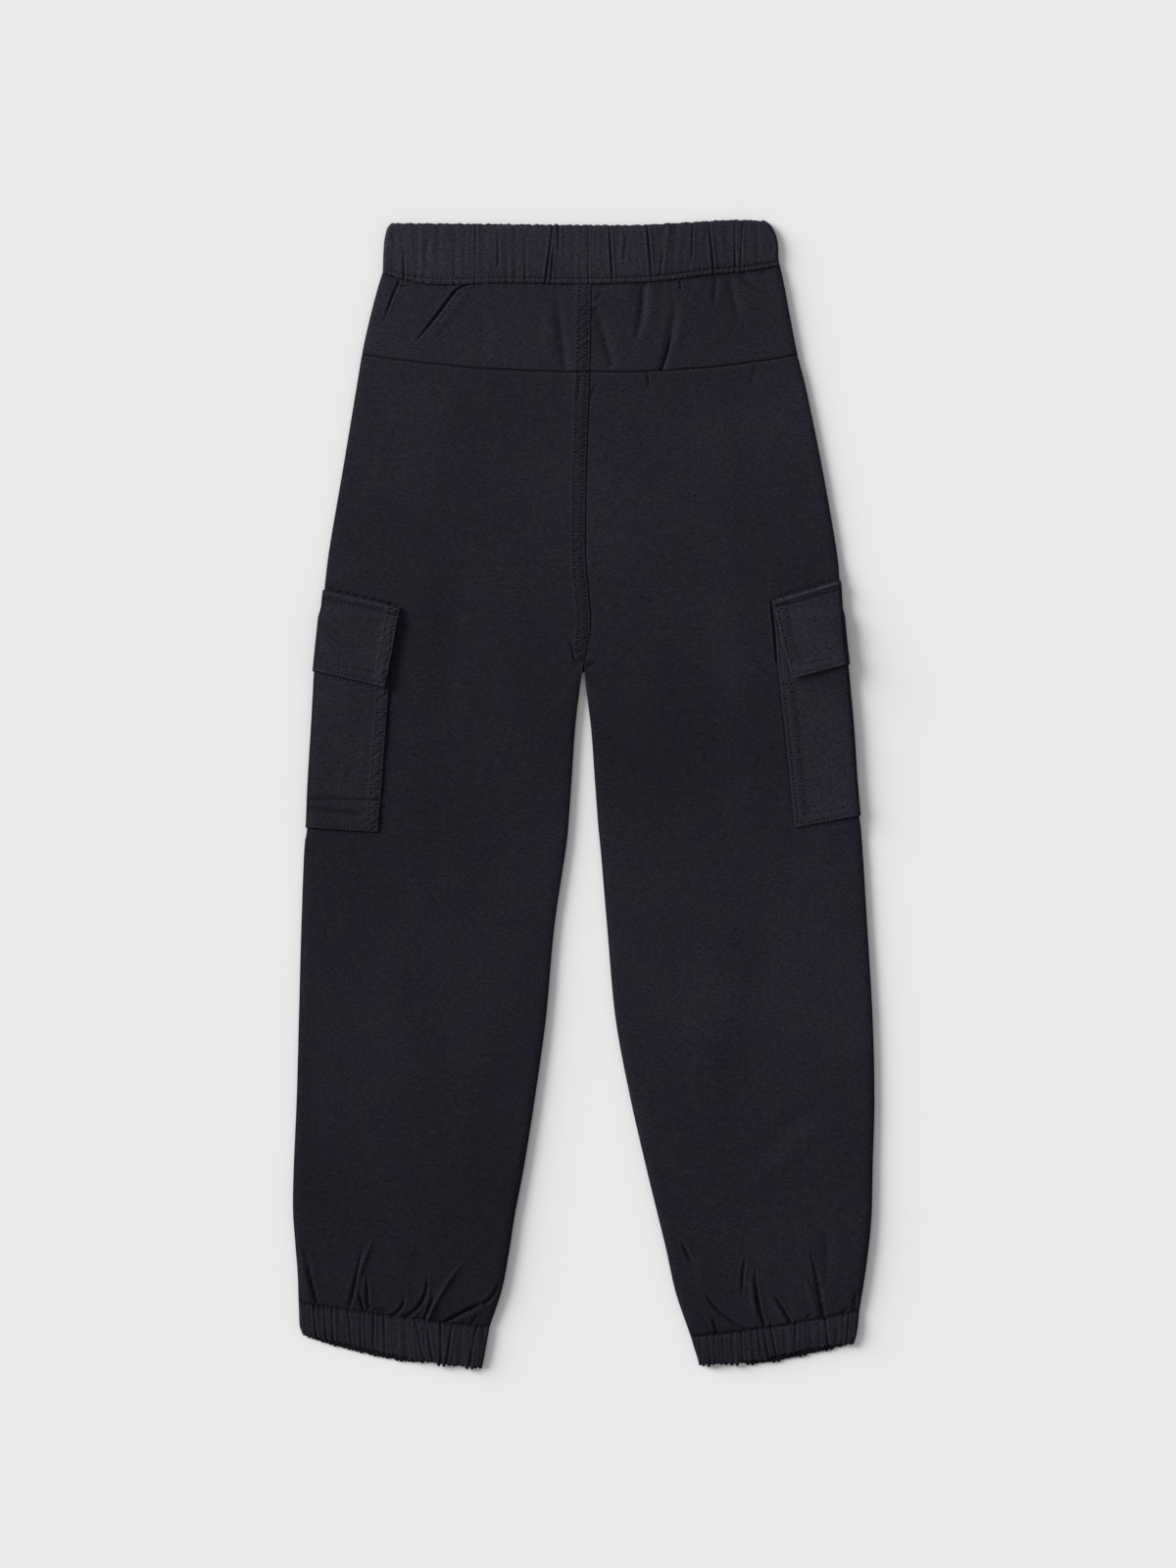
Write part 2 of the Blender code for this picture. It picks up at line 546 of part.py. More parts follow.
def wrapped_piece(side, name, rows, back, front, lies_on_pocket):
    """A pocket or a flap: over the back of the leg, round the outseam and under the front.

    Its points are read off the two panels and moved out by one layer, or by two over the pocket."""
    under = np.concatenate([EDGE_STEPS, np.linspace(EDGE_STEPS[-1], FRONT_REACH, WRAP_COLUMNS + 1)[1:]])
    pocket_top = side.pocket[0].outer_y
    diagonal = np.sqrt(0.5)
    outer_lines, inner_lines = [], []
    for row in rows:
        edge_x, top, floor = outseam_at(row.outer_y, back, front)
        reach = abs(row.back_x - edge_x)
        over = np.concatenate([np.linspace(reach, EDGE_STEPS[-1], WRAP_COLUMNS), EDGE_STEPS[-2::-1]])
        over_x = edge_x + side.inward * over
        over_y = row.outer_y + (row.back_y - row.outer_y) * over / reach
        under_x = edge_x + side.inward * under
        under_y = np.full(under.shape, row.outer_y)
        extra = PLY * inside(over_y, -np.inf, pocket_top) * lies_on_pocket
        skin = np.append(heights(back, over_x[:-1], over_y[:-1], True), top) + SEAM_GAP + extra
        if lies_on_pocket:
            base = edge_curl(under)
        else:
            base = np.append(floor, heights(front, under_x[1:], under_y[1:], False)) - PLY
            base = np.maximum(base, edge_curl(under))
        for ply, line in ((0.0, inner_lines), (TWILL, outer_lines)):
            out = SEAM_GAP + extra[-1] + ply
            turn_x = edge_x - side.inward * out * np.array([diagonal, 1.0, 1.0, diagonal])
            turn_z = np.array([top + out * diagonal, top, floor, floor - out * diagonal])
            x = np.concatenate([over_x, turn_x, under_x])
            y = np.concatenate([over_y, np.full(4, row.outer_y), under_y])
            z = np.concatenate([skin + ply, turn_z, base + TWILL - ply])
            line.append(np.column_stack([x, y, z]))
    return cloth_wall(name, np.array(outer_lines), np.array(inner_lines), NAVY)


# ---------------------------------------------------------------- casings over elastic
def gather_columns(gathers, left_top, right_top, left_foot, right_foot):
    """Columns of a casing: three on each gather, two on each swell between them.

    Returns the x of each column at the top and at the foot, and how deep it lies."""
    tops, feet, depths = [left_top], [left_foot], [0.0]
    for gather in sorted(gathers, key=lambda gather: gather.top_x):
        for side_step, depth in ((-1, 0.0), (0, gather.depth), (1, 0.0)):
            tops.append(gather.top_x + side_step * gather.half_width)
            feet.append(gather.foot_x + side_step * gather.half_width)
            depths.append(depth)
    tops.append(right_top)
    feet.append(right_foot)
    depths.append(0.0)
    return np.array(tops), np.array(feet), np.array(depths)


def waistband():
    """Both halves of the waist casing. The gathers crease the upper one and scallop its top edge."""
    first, last = WAIST_ROWS[0], WAIST_ROWS[-1]
    tops, feet, depths = gather_columns(
        WAIST_GATHERS, first.left_x, first.right_x, last.left_x, last.right_x
    )
    front_tops = np.linspace(first.left_x, first.right_x, FRONT_WAIST_COLUMNS)
    front_feet = np.linspace(last.left_x, last.right_x, FRONT_WAIST_COLUMNS)
    flat = np.zeros(FRONT_WAIST_COLUMNS)
    for name, floor, crown_share, columns in (
        ("waistband_front", 0.0, 0.0, (front_tops, front_feet, flat)),
        ("waistband_back", WAIST_CASING + SEAM_GAP, 1.0, (tops, feet, depths)),
    ):
        top_x, foot_x, depth = columns
        top_share = (top_x - first.left_x) / (first.right_x - first.left_x)
        foot_share = (foot_x - last.left_x) / (last.right_x - last.left_x)
        outer_lines, inner_lines = [], []
        for row in WAIST_ROWS:
            share = top_share + (foot_share - top_share) * row.share
            x = row.left_x + (row.right_x - row.left_x) * share
            crest = line_y(WAIST_TOP, top_x) - depth * (1 - row.share)
            y = crest + (line_y(WAIST_SEAM, foot_x) + SEAM_GAP - crest) * row.share
            from_end = np.minimum(x - row.left_x, row.right_x - x)
            low = np.full(x.shape, floor)
            swell = crown_share * (row.crown - depth * (1 - WAIST_GATHER_FADE * row.share))
            high = low + WAIST_CASING + swell * round_rise(from_end, ROLL)
            outer_lines.append(np.column_stack([x, y, high]))
            inner_lines.append(np.column_stack([x, y, low]))
        cloth_wall(name, np.array(outer_lines), np.array(inner_lines), NAVY_CASING)


def cuff(side):
    """Both halves of a cuff casing. The hidden one reaches a little lower."""
    seam, hem = side.cuff[0], side.cuff[-1]
    ends = (seam.outer_x, seam.inner_x, hem.outer_x, hem.inner_x)
    if side.inward < 0:
        ends = (seam.inner_x, seam.outer_x, hem.inner_x, hem.outer_x)
    gathered = gather_columns(side.cuff_gathers, *ends)
    plain = (
        np.linspace(ends[0], ends[1], FRONT_CUFF_COLUMNS),
        np.linspace(ends[2], ends[3], FRONT_CUFF_COLUMNS),
        np.zeros(FRONT_CUFF_COLUMNS),
    )
    for half, floor, crown_share, columns, drop in (
        ("front", 0.0, 0.0, plain, FRONT_CUFF_DROP[side.name]),
        ("back", CUFF_CASING + SEAM_GAP, 1.0, gathered, 0.0),
    ):
        top_x, foot_x, depth = columns
        top_share = (top_x - seam.outer_x) / (seam.inner_x - seam.outer_x)
        foot_share = (foot_x - hem.outer_x) / (hem.inner_x - hem.outer_x)
        outer_lines, inner_lines = [], []
        for number, row in enumerate(side.cuff):
            down = number / (len(side.cuff) - 1)
            share = top_share + (foot_share - top_share) * down
            x = row.outer_x + (row.inner_x - row.outer_x) * share
            arch = 4 * share * (1 - share)
            y = row.outer_y + (row.inner_y - row.outer_y) * share + (row.bow - drop * down) * arch
            from_end = np.minimum(np.abs(x - row.outer_x), np.abs(row.inner_x - x))
            low = np.full(x.shape, floor)
            swell = crown_share * (row.crown - depth * (1 - CUFF_GATHER_FADE * down))
            high = low + CUFF_CASING + swell * round_rise(from_end, ROLL)
            outer_lines.append(np.column_stack([x, y, high]))
            inner_lines.append(np.column_stack([x, y, low]))
        cloth_wall(f"cuff_{side.name}_{half}", np.array(outer_lines), np.array(inner_lines), NAVY_CASING)


# ---------------------------------------------------------------- solids
def cloth_material(name, colour):
    material = bpy.data.materials.new(name)
    material.use_nodes = True
    shader = material.node_tree.nodes["Principled BSDF"]
    shader.inputs["Base Color"].default_value = (*colour, 1.0)
    shader.inputs["Roughness"].default_value = TWILL_ROUGHNESS
    shader.inputs["Metallic"].default_value = 0.0
    material.diffuse_color = (*colour, 1.0)
    return material


Solid = namedtuple("Solid", "outer tree")


def cloth_wall(name, outer, inner, colour):
    """A closed body between two grids of points with the same rows and columns.

    Returns its outer points and a tree of its triangles, in millimetres."""
    mesh = bmesh.new()
    grids = [[[mesh.verts.new(point) for point in line] for line in grid] for grid in (outer, inner)]
    rows, columns = outer.shape[:2]
    for row in range(rows - 1):
        for column in range(columns - 1):
            for grid in grids:
                mesh.faces.new(
                    (
                        grid[row][column],
                        grid[row][column + 1],
                        grid[row + 1][column + 1],
                        grid[row + 1][column],
                    )
                )
    rims = [[grid[0], grid[-1], [line[0] for line in grid], [line[-1] for line in grid]] for grid in grids]
    for outer_rim, inner_rim in zip(*rims):
        for here in range(len(outer_rim) - 1):
            mesh.faces.new(
                (outer_rim[here], outer_rim[here + 1], inner_rim[here + 1], inner_rim[here])
            )
    bmesh.ops.recalc_face_normals(mesh, faces=mesh.faces)
    bmesh.ops.triangulate(mesh, faces=mesh.faces, quad_method="FIXED")
    tree = BVHTree.FromBMesh(mesh)
    mesh.transform(Matrix.Scale(MM, 4))
    data = bpy.data.meshes.new(name)
    mesh.to_mesh(data)
    mesh.free()
    data.materials.append(cloth_material(name, colour))
    data.shade_smooth()
    data.set_sharp_from_angle(angle=np.radians(SHARP_ANGLE))
    bpy.context.scene.collection.objects.link(bpy.data.objects.new(name, data))
    return Solid(outer, tree)


def build():
    for thing in list(bpy.data.objects):
        bpy.data.objects.remove(thing)
    waistband()
    sides = (
        Side("left", 1, LEFT_SECTIONS, LEFT_POCKET, LEFT_FLAP, LEFT_CUFF, LEFT_CUFF_GATHERS),
        Side("right", -1, RIGHT_SECTIONS, RIGHT_POCKET, RIGHT_FLAP, RIGHT_CUFF, RIGHT_CUFF_GATHERS),
    )
    for side in sides:
        columns = spaced_columns(EDGE_STEPS, SEAM_STEPS[side.name], BACK_COLUMNS)
        back_panel(side, f"back_yoke_{side.name}", YOKE_LINES, columns)
        back = back_panel(side, f"back_leg_{side.name}", LEG_LINES, columns)
        front = front_panel(side)
        wrapped_piece(side, f"pocket_{side.name}", side.pocket, back, front, False)
        wrapped_piece(side, f"flap_{side.name}", side.flap, back, front, True)
        cuff(side)


build()
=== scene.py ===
"""Balloon trousers in dark cotton twill, laid out flat with the back side up.

The sections follow the trousers as they are put together: front panels, back panels and yokes, pockets,
flaps, waistband, cuffs. Then come the surface that they lie on, the light and the camera. Sizes are in
millimetres, with +Y towards the waist, +Z up and the wearer's left leg towards -X.
"""

from collections import namedtuple
from functools import reduce

import bpy
import numpy as np
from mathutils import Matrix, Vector
from mathutils.bvhtree import BVHTree


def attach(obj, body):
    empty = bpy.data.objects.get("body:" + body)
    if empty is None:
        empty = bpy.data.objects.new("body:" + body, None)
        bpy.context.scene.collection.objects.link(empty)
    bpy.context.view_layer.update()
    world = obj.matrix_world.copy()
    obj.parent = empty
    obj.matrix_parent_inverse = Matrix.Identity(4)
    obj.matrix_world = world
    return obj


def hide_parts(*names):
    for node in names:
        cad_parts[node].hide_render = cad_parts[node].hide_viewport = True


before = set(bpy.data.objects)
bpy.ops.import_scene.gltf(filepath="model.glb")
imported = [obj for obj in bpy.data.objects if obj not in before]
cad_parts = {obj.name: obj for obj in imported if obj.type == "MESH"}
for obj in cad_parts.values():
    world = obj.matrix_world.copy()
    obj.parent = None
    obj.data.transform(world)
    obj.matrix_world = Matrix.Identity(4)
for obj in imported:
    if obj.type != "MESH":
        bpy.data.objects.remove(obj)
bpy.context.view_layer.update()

# ---------------------------------------------------------------- Front leg panels
# The two hidden fronts, each cut in one piece of cotton twill from the waistband to the cuff and seamed
# to its back at the outseam and the inseam. They lie on the surface, and over the part of each pocket
# and flap that wraps round the outseam. A little rumpled where cuff and waistband gather them.
MM = 0.001
TWILL = 1.0  # wall of one panel
SEAM_GAP = 0.3  # clearance between two pieces that are sewn together
PLY = TWILL + SEAM_GAP  # height that one more layer of twill takes
ROLL = 7.0  # width over which a leg's edge rounds down to its side seam
EDGE_LIFT = 1.0  # how far the lowest layer curls up at the side seams
FRONT_REACH = 68.0  # how far the pockets and flaps run under the front of a leg
LEVEL_MARGIN = 6.0  # a layer stays raised this far past the piece that it lies on
RAMP = 10.0  # and comes down over this width
SEAM_ROUND = 2.6  # width over which cloth rounds down into a seam
SEAM_DEPTH = 0.9

# A row is one line across the leg, from the outseam to the inner edge. Down to the crotch the inner edge
# is the seat seam, and its x is left to SEAT_SEAM (None). `bow` is how far the middle of the line lies
# above its ends, and `air` is the free height between the front and the back of the leg.
Section = namedtuple("Section", "name air outer_x outer_y inner_x inner_y bow")
SECTIONS = [  # a name, the air, and then the rest for the left leg and for the right leg
    ("waist seam", 1.8, (-154.6, 399.2, None, 391.8, 0), (149.2, 405.4, None, 391.8, 0)),
    ("gathered yoke", 2.7, (-159.2, 384, None, 379, 0), (152.6, 390, None, 379, 0)),
    ("yoke middle", 2.8, (-165.3, 360, None, 352, -1.8), (157.4, 364, None, 352, -2)),
    ("yoke seam", 2.5, (-170.2, 337, None, 323.8, -3.7), (162.8, 336.6, None, 323.8, -4.1)),
    ("upper seat", 2.3, (-175, 308, None, 299, -2.2), (169.9, 308, None, 299, -2.4)),
    ("seat", 2.2, (-185, 248, None, 243, -1), (182.1, 248, None, 243, -1)),
    ("lower seat", 2.2, (-195.2, 188, None, 186, 0), (192.5, 188, None, 186, 0)),
    ("flap top", 2, (-198.9, 157, None, 157, 0), (194.8, 164, None, 157, 0)),
    ("pocket top", 2, (-201.9, 128.6, None, 130, 0), (197.1, 128.6, None, 130, 0)),
    ("crotch", 2.2, (-205.4, 94.5, None, 103.4, -6), (200.4, 98, None, 103.4, -6)),
    ("thigh", 2.3, (-206.6, 76, -3.9, 80, 0), (202.4, 78, 1.4, 80, 0)),
    ("lower thigh", 2.3, (-208.2, 48, -7.3, 50, 0), (204.9, 50, 5, 50, 0)),
    ("knee", 2.3, (-210.6, 9, -10, 10, 0), (207.4, 12, 7.9, 10, 0)),
    ("pocket foot", 2.3, (-212.1, -25, -12.5, -24, -1), (209.9, -16, 10.4, -24, 0)),
    ("below the pocket", 2.3, (-214.4, -43, -14.6, -43, 0), (212, -35, 12.3, -43, 0)),
    ("calf", 2.5, (-216.7, -104, -23.3, -102, 0), (216.1, -100, 17.3, -102, 0)),
    ("fullest calf", 2.7, (-218.5, -171, -29.5, -170, 0), (220.1, -168, 23.5, -170, 0)),
    ("lower calf", 3, (-220.1, -231, -37.7, -230, 0), (221.6, -230, 34.6, -230, 0)),
    ("shin", 3.3, (-222.4, -284, -46.3, -284, 0), (220.3, -284, 46.9, -284, 0)),
    ("lower shin", 3.5, (-223, -316, -53.3, -321, 0), (219.5, -320, 55.9, -321, 0)),
    ("ankle", 3.6, (-221.3, -342, -57.5, -348, 0), (217.3, -345, 62.5, -348, 0)),
    ("above the cuff", 3.3, (-219.4, -366, -63.2, -378, -0.6), (213.8, -371, 69.6, -380, -1)),
    ("cuff seam", 2.2, (-218.7, -387.4, -72.6, -406.2, -1.1), (210.1, -393.4, 81.1, -413.7, -2.2)),
]
LEFT_SECTIONS, RIGHT_SECTIONS = (
    [Section(name, air, *sides[side]) for name, air, *sides in SECTIONS] for side in (0, 1)
)
SECTION_NAMES = [section.name for section in LEFT_SECTIONS]
YOKE_SEAM = SECTION_NAMES.index("yoke seam")
CROTCH = SECTION_NAMES.index("crotch")
SHIN = SECTION_NAMES.index("shin")
CUFF_SEAM = SECTION_NAMES.index("cuff seam")

LinePoint = namedtuple("LinePoint", "x y")
# The centre-back seam, from the waistband to the crotch, and the waistband's lower edge between the sides.
SEAT_SEAM = [LinePoint(*point) for point in (
    (5.2, 391.8), (4.1, 323.8), (2.1, 266.6), (0.6, 203.6), (1.4, 171.4), (4.6, 139.9), (3.8, 118.9),
    (-0.2, 103.4),
)]
WAIST_SEAM = [LinePoint(*point) for point in (
    (-154.6, 399.2), (-138.4, 394.6), (-128.6, 392.6), (-60, 392.2), (17.6, 391.6), (61.1, 394.1),
    (95.6, 399), (122.6, 401.2), (149.2, 405.4),
)]

# A piece that wraps round the outseam and lies under the front, between two heights.
Underlay = namedtuple("Underlay", "piece top_y foot_y")


def smooth_line(stations, values, at):
    """A smooth curve through (stations, values), read at `at`. Stations rise."""
    stations = np.asarray(stations, float)
    values = np.asarray(values, float)
    at = np.clip(np.asarray(at, float), stations[0], stations[-1])
    slopes = np.gradient(values, stations)
    left = np.clip(np.searchsorted(stations, at) - 1, 0, len(stations) - 2)
    step = stations[left + 1] - stations[left]
    s = (at - stations[left]) / step
    start = values[left] * (1 + 2 * s) * (1 - s) ** 2
    end = values[left + 1] * s * s * (3 - 2 * s)
    bend = step * (slopes[left] * s * (1 - s) ** 2 - slopes[left + 1] * s * s * (1 - s))
    return start + end + bend


def line_y(line, x):
    return smooth_line([point.x for point in line], [point.y for point in line], x)


def seat_seam_x(y):
    return smooth_line([-point.y for point in SEAT_SEAM], [point.x for point in SEAT_SEAM], -y)


def smoothstep(value):
    value = np.clip(value, 0.0, 1.0)
    return value * value * (3 - 2 * value)


def round_rise(distance, width):
    """0 at an edge and 1 from `width` inwards, on a quarter of an ellipse."""
    return np.sqrt(1 - (1 - np.clip(distance / width, 0.0, 1.0)) ** 2)


def inside(value, low, high, ramp=RAMP):
    """1 between low and high, with a margin, falling to 0 over the ramp on both sides."""
    past = np.maximum(low - value, value - high) - LEVEL_MARGIN
    return 1 - smoothstep(past / ramp)


class Leg:
    """One leg's outline, whose columns are those of its sections. `inward` is the direction of x from
    its outseam to its inner edge."""

    def __init__(self, name, inward, sections, underlays):
        self.name = name
        self.inward = inward
        self.underlays = underlays
        for name in ("outer_x", "outer_y", "inner_y", "bow", "air"):
            setattr(self, name, np.array([getattr(row, name) for row in sections]))
        seam_half = inward * SEAM_GAP / 2
        inner = [
            seat_seam_x(row.inner_y) - seam_half if row.inner_x is None else row.inner_x
            for row in sections
        ]
        self.inner_x = np.array(inner)

    def column(self, name, station):
        """A column of the section table, read smoothly at a station: a row's number with a fraction."""
        values = getattr(self, name)
        return smooth_line(np.arange(len(values)), values, station)

    def stations(self, first, last, spacing):
        """Stations of lines across the leg that are about `spacing` apart."""
        fine = np.linspace(first, last, 40 * (last - first) + 1)
        drop = self.column("outer_y", fine[0]) - self.column("outer_y", fine)
        return np.interp(np.linspace(0.0, drop[-1], int(drop[-1] / spacing) + 1), drop, fine)


LEGS = (
    Leg("left", 1, LEFT_SECTIONS, (Underlay("pocket", 128.6, -25.0), Underlay("flap", 157.0, 94.5))),
    Leg("right", -1, RIGHT_SECTIONS, (Underlay("pocket", 128.6, -15.6), Underlay("flap", 164.0, 99.8))),
)


def edge_curl(distance):
    """How far the lowest layer curls up near its edge."""
    return EDGE_LIFT * (1 - round_rise(distance, ROLL))


def front_floor(leg, y, from_outseam, from_inseam, ramp=RAMP):
    """Height of the underside of the front panel, which lies on the pocket and the flap."""
    layers = sum(inside(y, layer.foot_y, layer.top_y, ramp) for layer in leg.underlays)
    raised = PLY * layers * inside(from_outseam, 0.0, FRONT_REACH, ramp)
    return raised + edge_curl(from_outseam) + edge_curl(from_inseam)


def leg_lines(leg, stations, columns):
    """x, y and the distances from both edges, for lines across the leg at the given stations."""
    outer_x, outer_y = leg.column("outer_x", stations), leg.column("outer_y", stations)
    inner_x, inner_y = leg.column("inner_x", stations), leg.column("inner_y", stations)
    width = np.abs(inner_x - outer_x)
    share = columns(width)
    x = outer_x + (inner_x - outer_x) * share
    chord = outer_y + (inner_y - outer_y) * share
    seam_rise = line_y(WAIST_SEAM, x) - leg.outer_y[0] - (leg.inner_y[0] - leg.outer_y[0]) * share
    near_waist = np.clip(1 - stations / YOKE_SEAM, 0.0, 1.0)
    y = chord + leg.column("bow", stations) * 4 * share * (1 - share) + seam_rise * near_waist
    return x, y, share * width, (1 - share) * width


def spaced_columns(outer_steps, inner_steps, between):
    """Shares of the width for columns at fixed distances from both edges and even ones between."""

    def shares(width):
        outer = np.array(outer_steps) / width
        inner = 1 - np.array(inner_steps)[::-1] / width
        fill = np.linspace(0.0, 1.0, between + 2)[1:-1]
        middle = outer[:, -1:] + (inner[:, :1] - outer[:, -1:]) * fill
        return np.concatenate([outer, middle, inner], axis=1)

    return shares


def inseam_distance(stations, from_inner):
    """The distance from the inseam. Along the seat seam nothing rolls under, so there it counts as far."""
    below = smoothstep(stations - CROTCH)
    return np.where(below > 0, from_inner + ROLL * (1 - below), ROLL)


# A crease runs from its start through its middle to its end. A negative height is a trough. It dies out
# towards its start, towards both ends or towards neither.
CREASE_COLUMNS = "name start_x start_y mid_x mid_y end_x end_y half_width height fades"
Crease = namedtuple("Crease", CREASE_COLUMNS, defaults=["start"])
CREASE_PARTS = 14  # straight parts that a crease's curve is measured by
CREASE_REACH = 4.2  # half widths beyond which a crease has no effect
SHARP_WIDTH = 3.0  # a trough narrower than this is a sharp fold, with banks beside it and painted shade in its bottom
DARK_DEPTH = 2.1  # a sharp fold this deep gets the darkest painted shade
BANK_HEIGHT = 0.18  # height of a sharp fold's banks, as a share of its depth
BANK_PLACE = 2.2  # how far out they are, in half widths
DARK_WIDTH = 0.85  # the width of the painted shade in the bottom, as a share of the fold's
FADES = {"start": 0.55, "both": 0.4, "neither": 0.06}  # share of its length over which a crease dies out


def crease_relief(creases, x, y):
    """The height that the creases add at (x, y), and the painted shade of their folds there, from 0 to 1.
    """
    total, dark = np.zeros(x.shape), np.zeros(x.shape)
    t = np.linspace(0.0, 1.0, CREASE_PARTS + 1)
    weights = np.array([2 * (t - 0.5) * (t - 1), 4 * t * (1 - t), 2 * t * (t - 0.5)])
    for crease in creases:
        path_x = weights.T @ [crease.start_x, crease.mid_x, crease.end_x]
        path_y = weights.T @ [crease.start_y, crease.mid_y, crease.end_y]
        reach = CREASE_REACH * crease.half_width
        near = (x > path_x.min() - reach) & (x < path_x.max() + reach)
        near &= (y > path_y.min() - reach) & (y < path_y.max() + reach)
        px, py = x[near][:, None], y[near][:, None]
        run_x, run_y = np.diff(path_x), np.diff(path_y)
        along = ((px - path_x[:-1]) * run_x + (py - path_y[:-1]) * run_y) / (run_x**2 + run_y**2)
        along = np.clip(along, 0.0, 1.0)
        away = np.hypot(px - path_x[:-1] - along * run_x, py - path_y[:-1] - along * run_y)
        part = away.argmin(1)
        share = (part + np.take_along_axis(along, part[:, None], 1)[:, 0]) / CREASE_PARTS
        fade = FADES[crease.fades]
        strength = smoothstep(share / fade)
        if crease.fades != "start":
            strength = strength * smoothstep((1 - share) / fade)
        away = away.min(1) / (crease.half_width * (0.55 + 0.45 * strength))
        profile = np.exp(-(away**2))
        if crease.height < 0 and crease.half_width < SHARP_WIDTH:
            profile = profile - BANK_HEIGHT * np.exp(-((away - BANK_PLACE) ** 2))
            depth = min(-crease.height / DARK_DEPTH, 1.0) ** 1.5
            # painted shade in the bottom of the fold
            dark[near] = np.maximum(dark[near], depth * strength * np.exp(-((away / DARK_WIDTH) ** 2)))
        total[near] += crease.height * strength * profile
    return total, dark


def rumple(x, y, height, length):
    """The soft unevenness that pressed cloth keeps: a few crossed waves."""
    waves = (
        np.sin(x / length + 0.7 * np.sin(y / (1.9 * length)))
        + np.sin((0.6 * x + 0.8 * y) / (1.3 * length) + 1.1)
        + 0.7 * np.sin((0.9 * y - 0.5 * x) / (0.8 * length) + 2.3)
    )
    return height * waves / 2.7


def node_group(name, inputs, outputs):
    """An empty shader node group with named sockets, and the sockets inside it at its two ends."""
    tree = bpy.data.node_groups.new(name, "ShaderNodeTree")
    for label, kind, value in inputs:
        socket = tree.interface.new_socket(name=label, in_out="INPUT", socket_type=f"NodeSocket{kind}")
        socket.default_value = value
    for label, kind in outputs:
        tree.interface.new_socket(name=label, in_out="OUTPUT", socket_type=f"NodeSocket{kind}")
    return tree, tree.nodes.new("NodeGroupInput").outputs, tree.nodes.new("NodeGroupOutput").inputs


def shader_node(tree, kind, inputs, **settings):
    """A node with its settings. An input is given by name or number, as a value or as a socket."""
    node = tree.nodes.new(f"ShaderNode{kind}")
    for setting, value in settings.items():
        setattr(node, setting, value)
    for label, value in inputs.items():
        if isinstance(value, bpy.types.NodeSocket):
            tree.links.new(value, node.inputs[label])
        else:
            node.inputs[label].default_value = value
    return node


def math_node(tree, operation, first, second):
    return shader_node(tree, "Math", {0: first, 1: second}, operation=operation).outputs[0]


WAVE_LENGTH = 0.314  # the wave node's period at a scale of 1
SLUB_STRETCH = (0.45, 1.0, 1.0)  # slubs are longer in the weft


def twill_weave():
    """Node group: slanting twill ribs, and the thick and thin yarns that they are woven from."""
    tree, given, result = node_group(
        "Twill weave",
        [("Rib Spacing", "Float", 0.0009), ("Rib Angle", "Float", 1.1), ("Contrast", "Float", 1.0)],
        [("Height", "Float"), ("Shade", "Float")],
    )
    place = shader_node(tree, "TexCoord", {}).outputs["Object"]
    turn = {"Vector": place, "Angle": given["Rib Angle"]}
    turned = shader_node(tree, "VectorRotate", turn, rotation_type="Z_AXIS").outputs["Vector"]
    scale = math_node(tree, "DIVIDE", WAVE_LENGTH, given["Rib Spacing"])
    ribs = {"Distortion": 1.6, "Detail": 1.0, "Scale": scale, "Vector": turned}
    ribs = shader_node(tree, "TexWave", ribs).outputs["Fac"]
    yarns = shader_node(tree, "TexNoise", {"Scale": 900.0, "Detail": 3.0, "Vector": place}).outputs["Fac"]
    stretch = shader_node(tree, "VectorMath", {0: place, 1: SLUB_STRETCH}, operation="MULTIPLY")
    slubs = {"Scale": 800.0, "Detail": 2.0, "Vector": stretch.outputs["Vector"]}
    grain = math_node(tree, "ADD", yarns, shader_node(tree, "TexNoise", slubs).outputs["Fac"])
    height = math_node(tree, "ADD", math_node(tree, "MULTIPLY", ribs, 0.5), grain)
    tree.links.new(height, result["Height"])
    uneven = math_node(tree, "MULTIPLY", math_node(tree, "SUBTRACT", grain, 1.0), given["Contrast"])
    tree.links.new(math_node(tree, "ADD", uneven, 1.0), result["Shade"])
    return tree


def uneven_dye():
    """Node group: cloth that is dyed a little bluer here and greyer there, and is faded in broad areas.
    Its Shade input scales the colour; the cloth feeds it the yarns' grain times its painted shade.
    """
    tree, given, result = node_group(
        "Uneven dye",
        [
            ("Navy", "Color", (0.02, 0.02, 0.04, 1.0)), ("Charcoal", "Color", (0.02, 0.02, 0.02, 1.0)),
            ("Patch Size", "Float", 0.03), ("Fading", "Float", 0.5), ("Shade", "Float", 1.0),
        ],
        [("Colour", "Color")],
    )
    place = shader_node(tree, "TexCoord", {}).outputs["Object"]
    scale = math_node(tree, "DIVIDE", 1.0, given["Patch Size"])
    patches = shader_node(tree, "TexNoise", {"Detail": 2.5, "Vector": place, "Scale": scale})
    spread = {"From Min": 0.38, "From Max": 0.62, "Value": patches.outputs["Fac"]}
    spread = shader_node(tree, "MapRange", spread).outputs["Result"]
    dyes = {"Factor": spread, "A": given["Navy"], "B": given["Charcoal"]}
    mixed = shader_node(tree, "Mix", dyes, data_type="RGBA").outputs["Result"]
    broad = {"Detail": 1.0, "Vector": place, "Scale": math_node(tree, "MULTIPLY", scale, 0.2)}
    areas = math_node(tree, "SUBTRACT", shader_node(tree, "TexNoise", broad).outputs["Fac"], 0.5)
    faded = math_node(tree, "ADD", math_node(tree, "MULTIPLY", areas, given["Fading"]), 1.0)
    tone = math_node(tree, "MULTIPLY", faded, given["Shade"])
    shaded = shader_node(tree, "VectorMath", {"Vector": mixed, "Scale": tone}, operation="SCALE")
    tree.links.new(shaded.outputs["Vector"], result["Colour"])
    return tree


TWILL_WEAVE = twill_weave()
UNEVEN_DYE = uneven_dye()


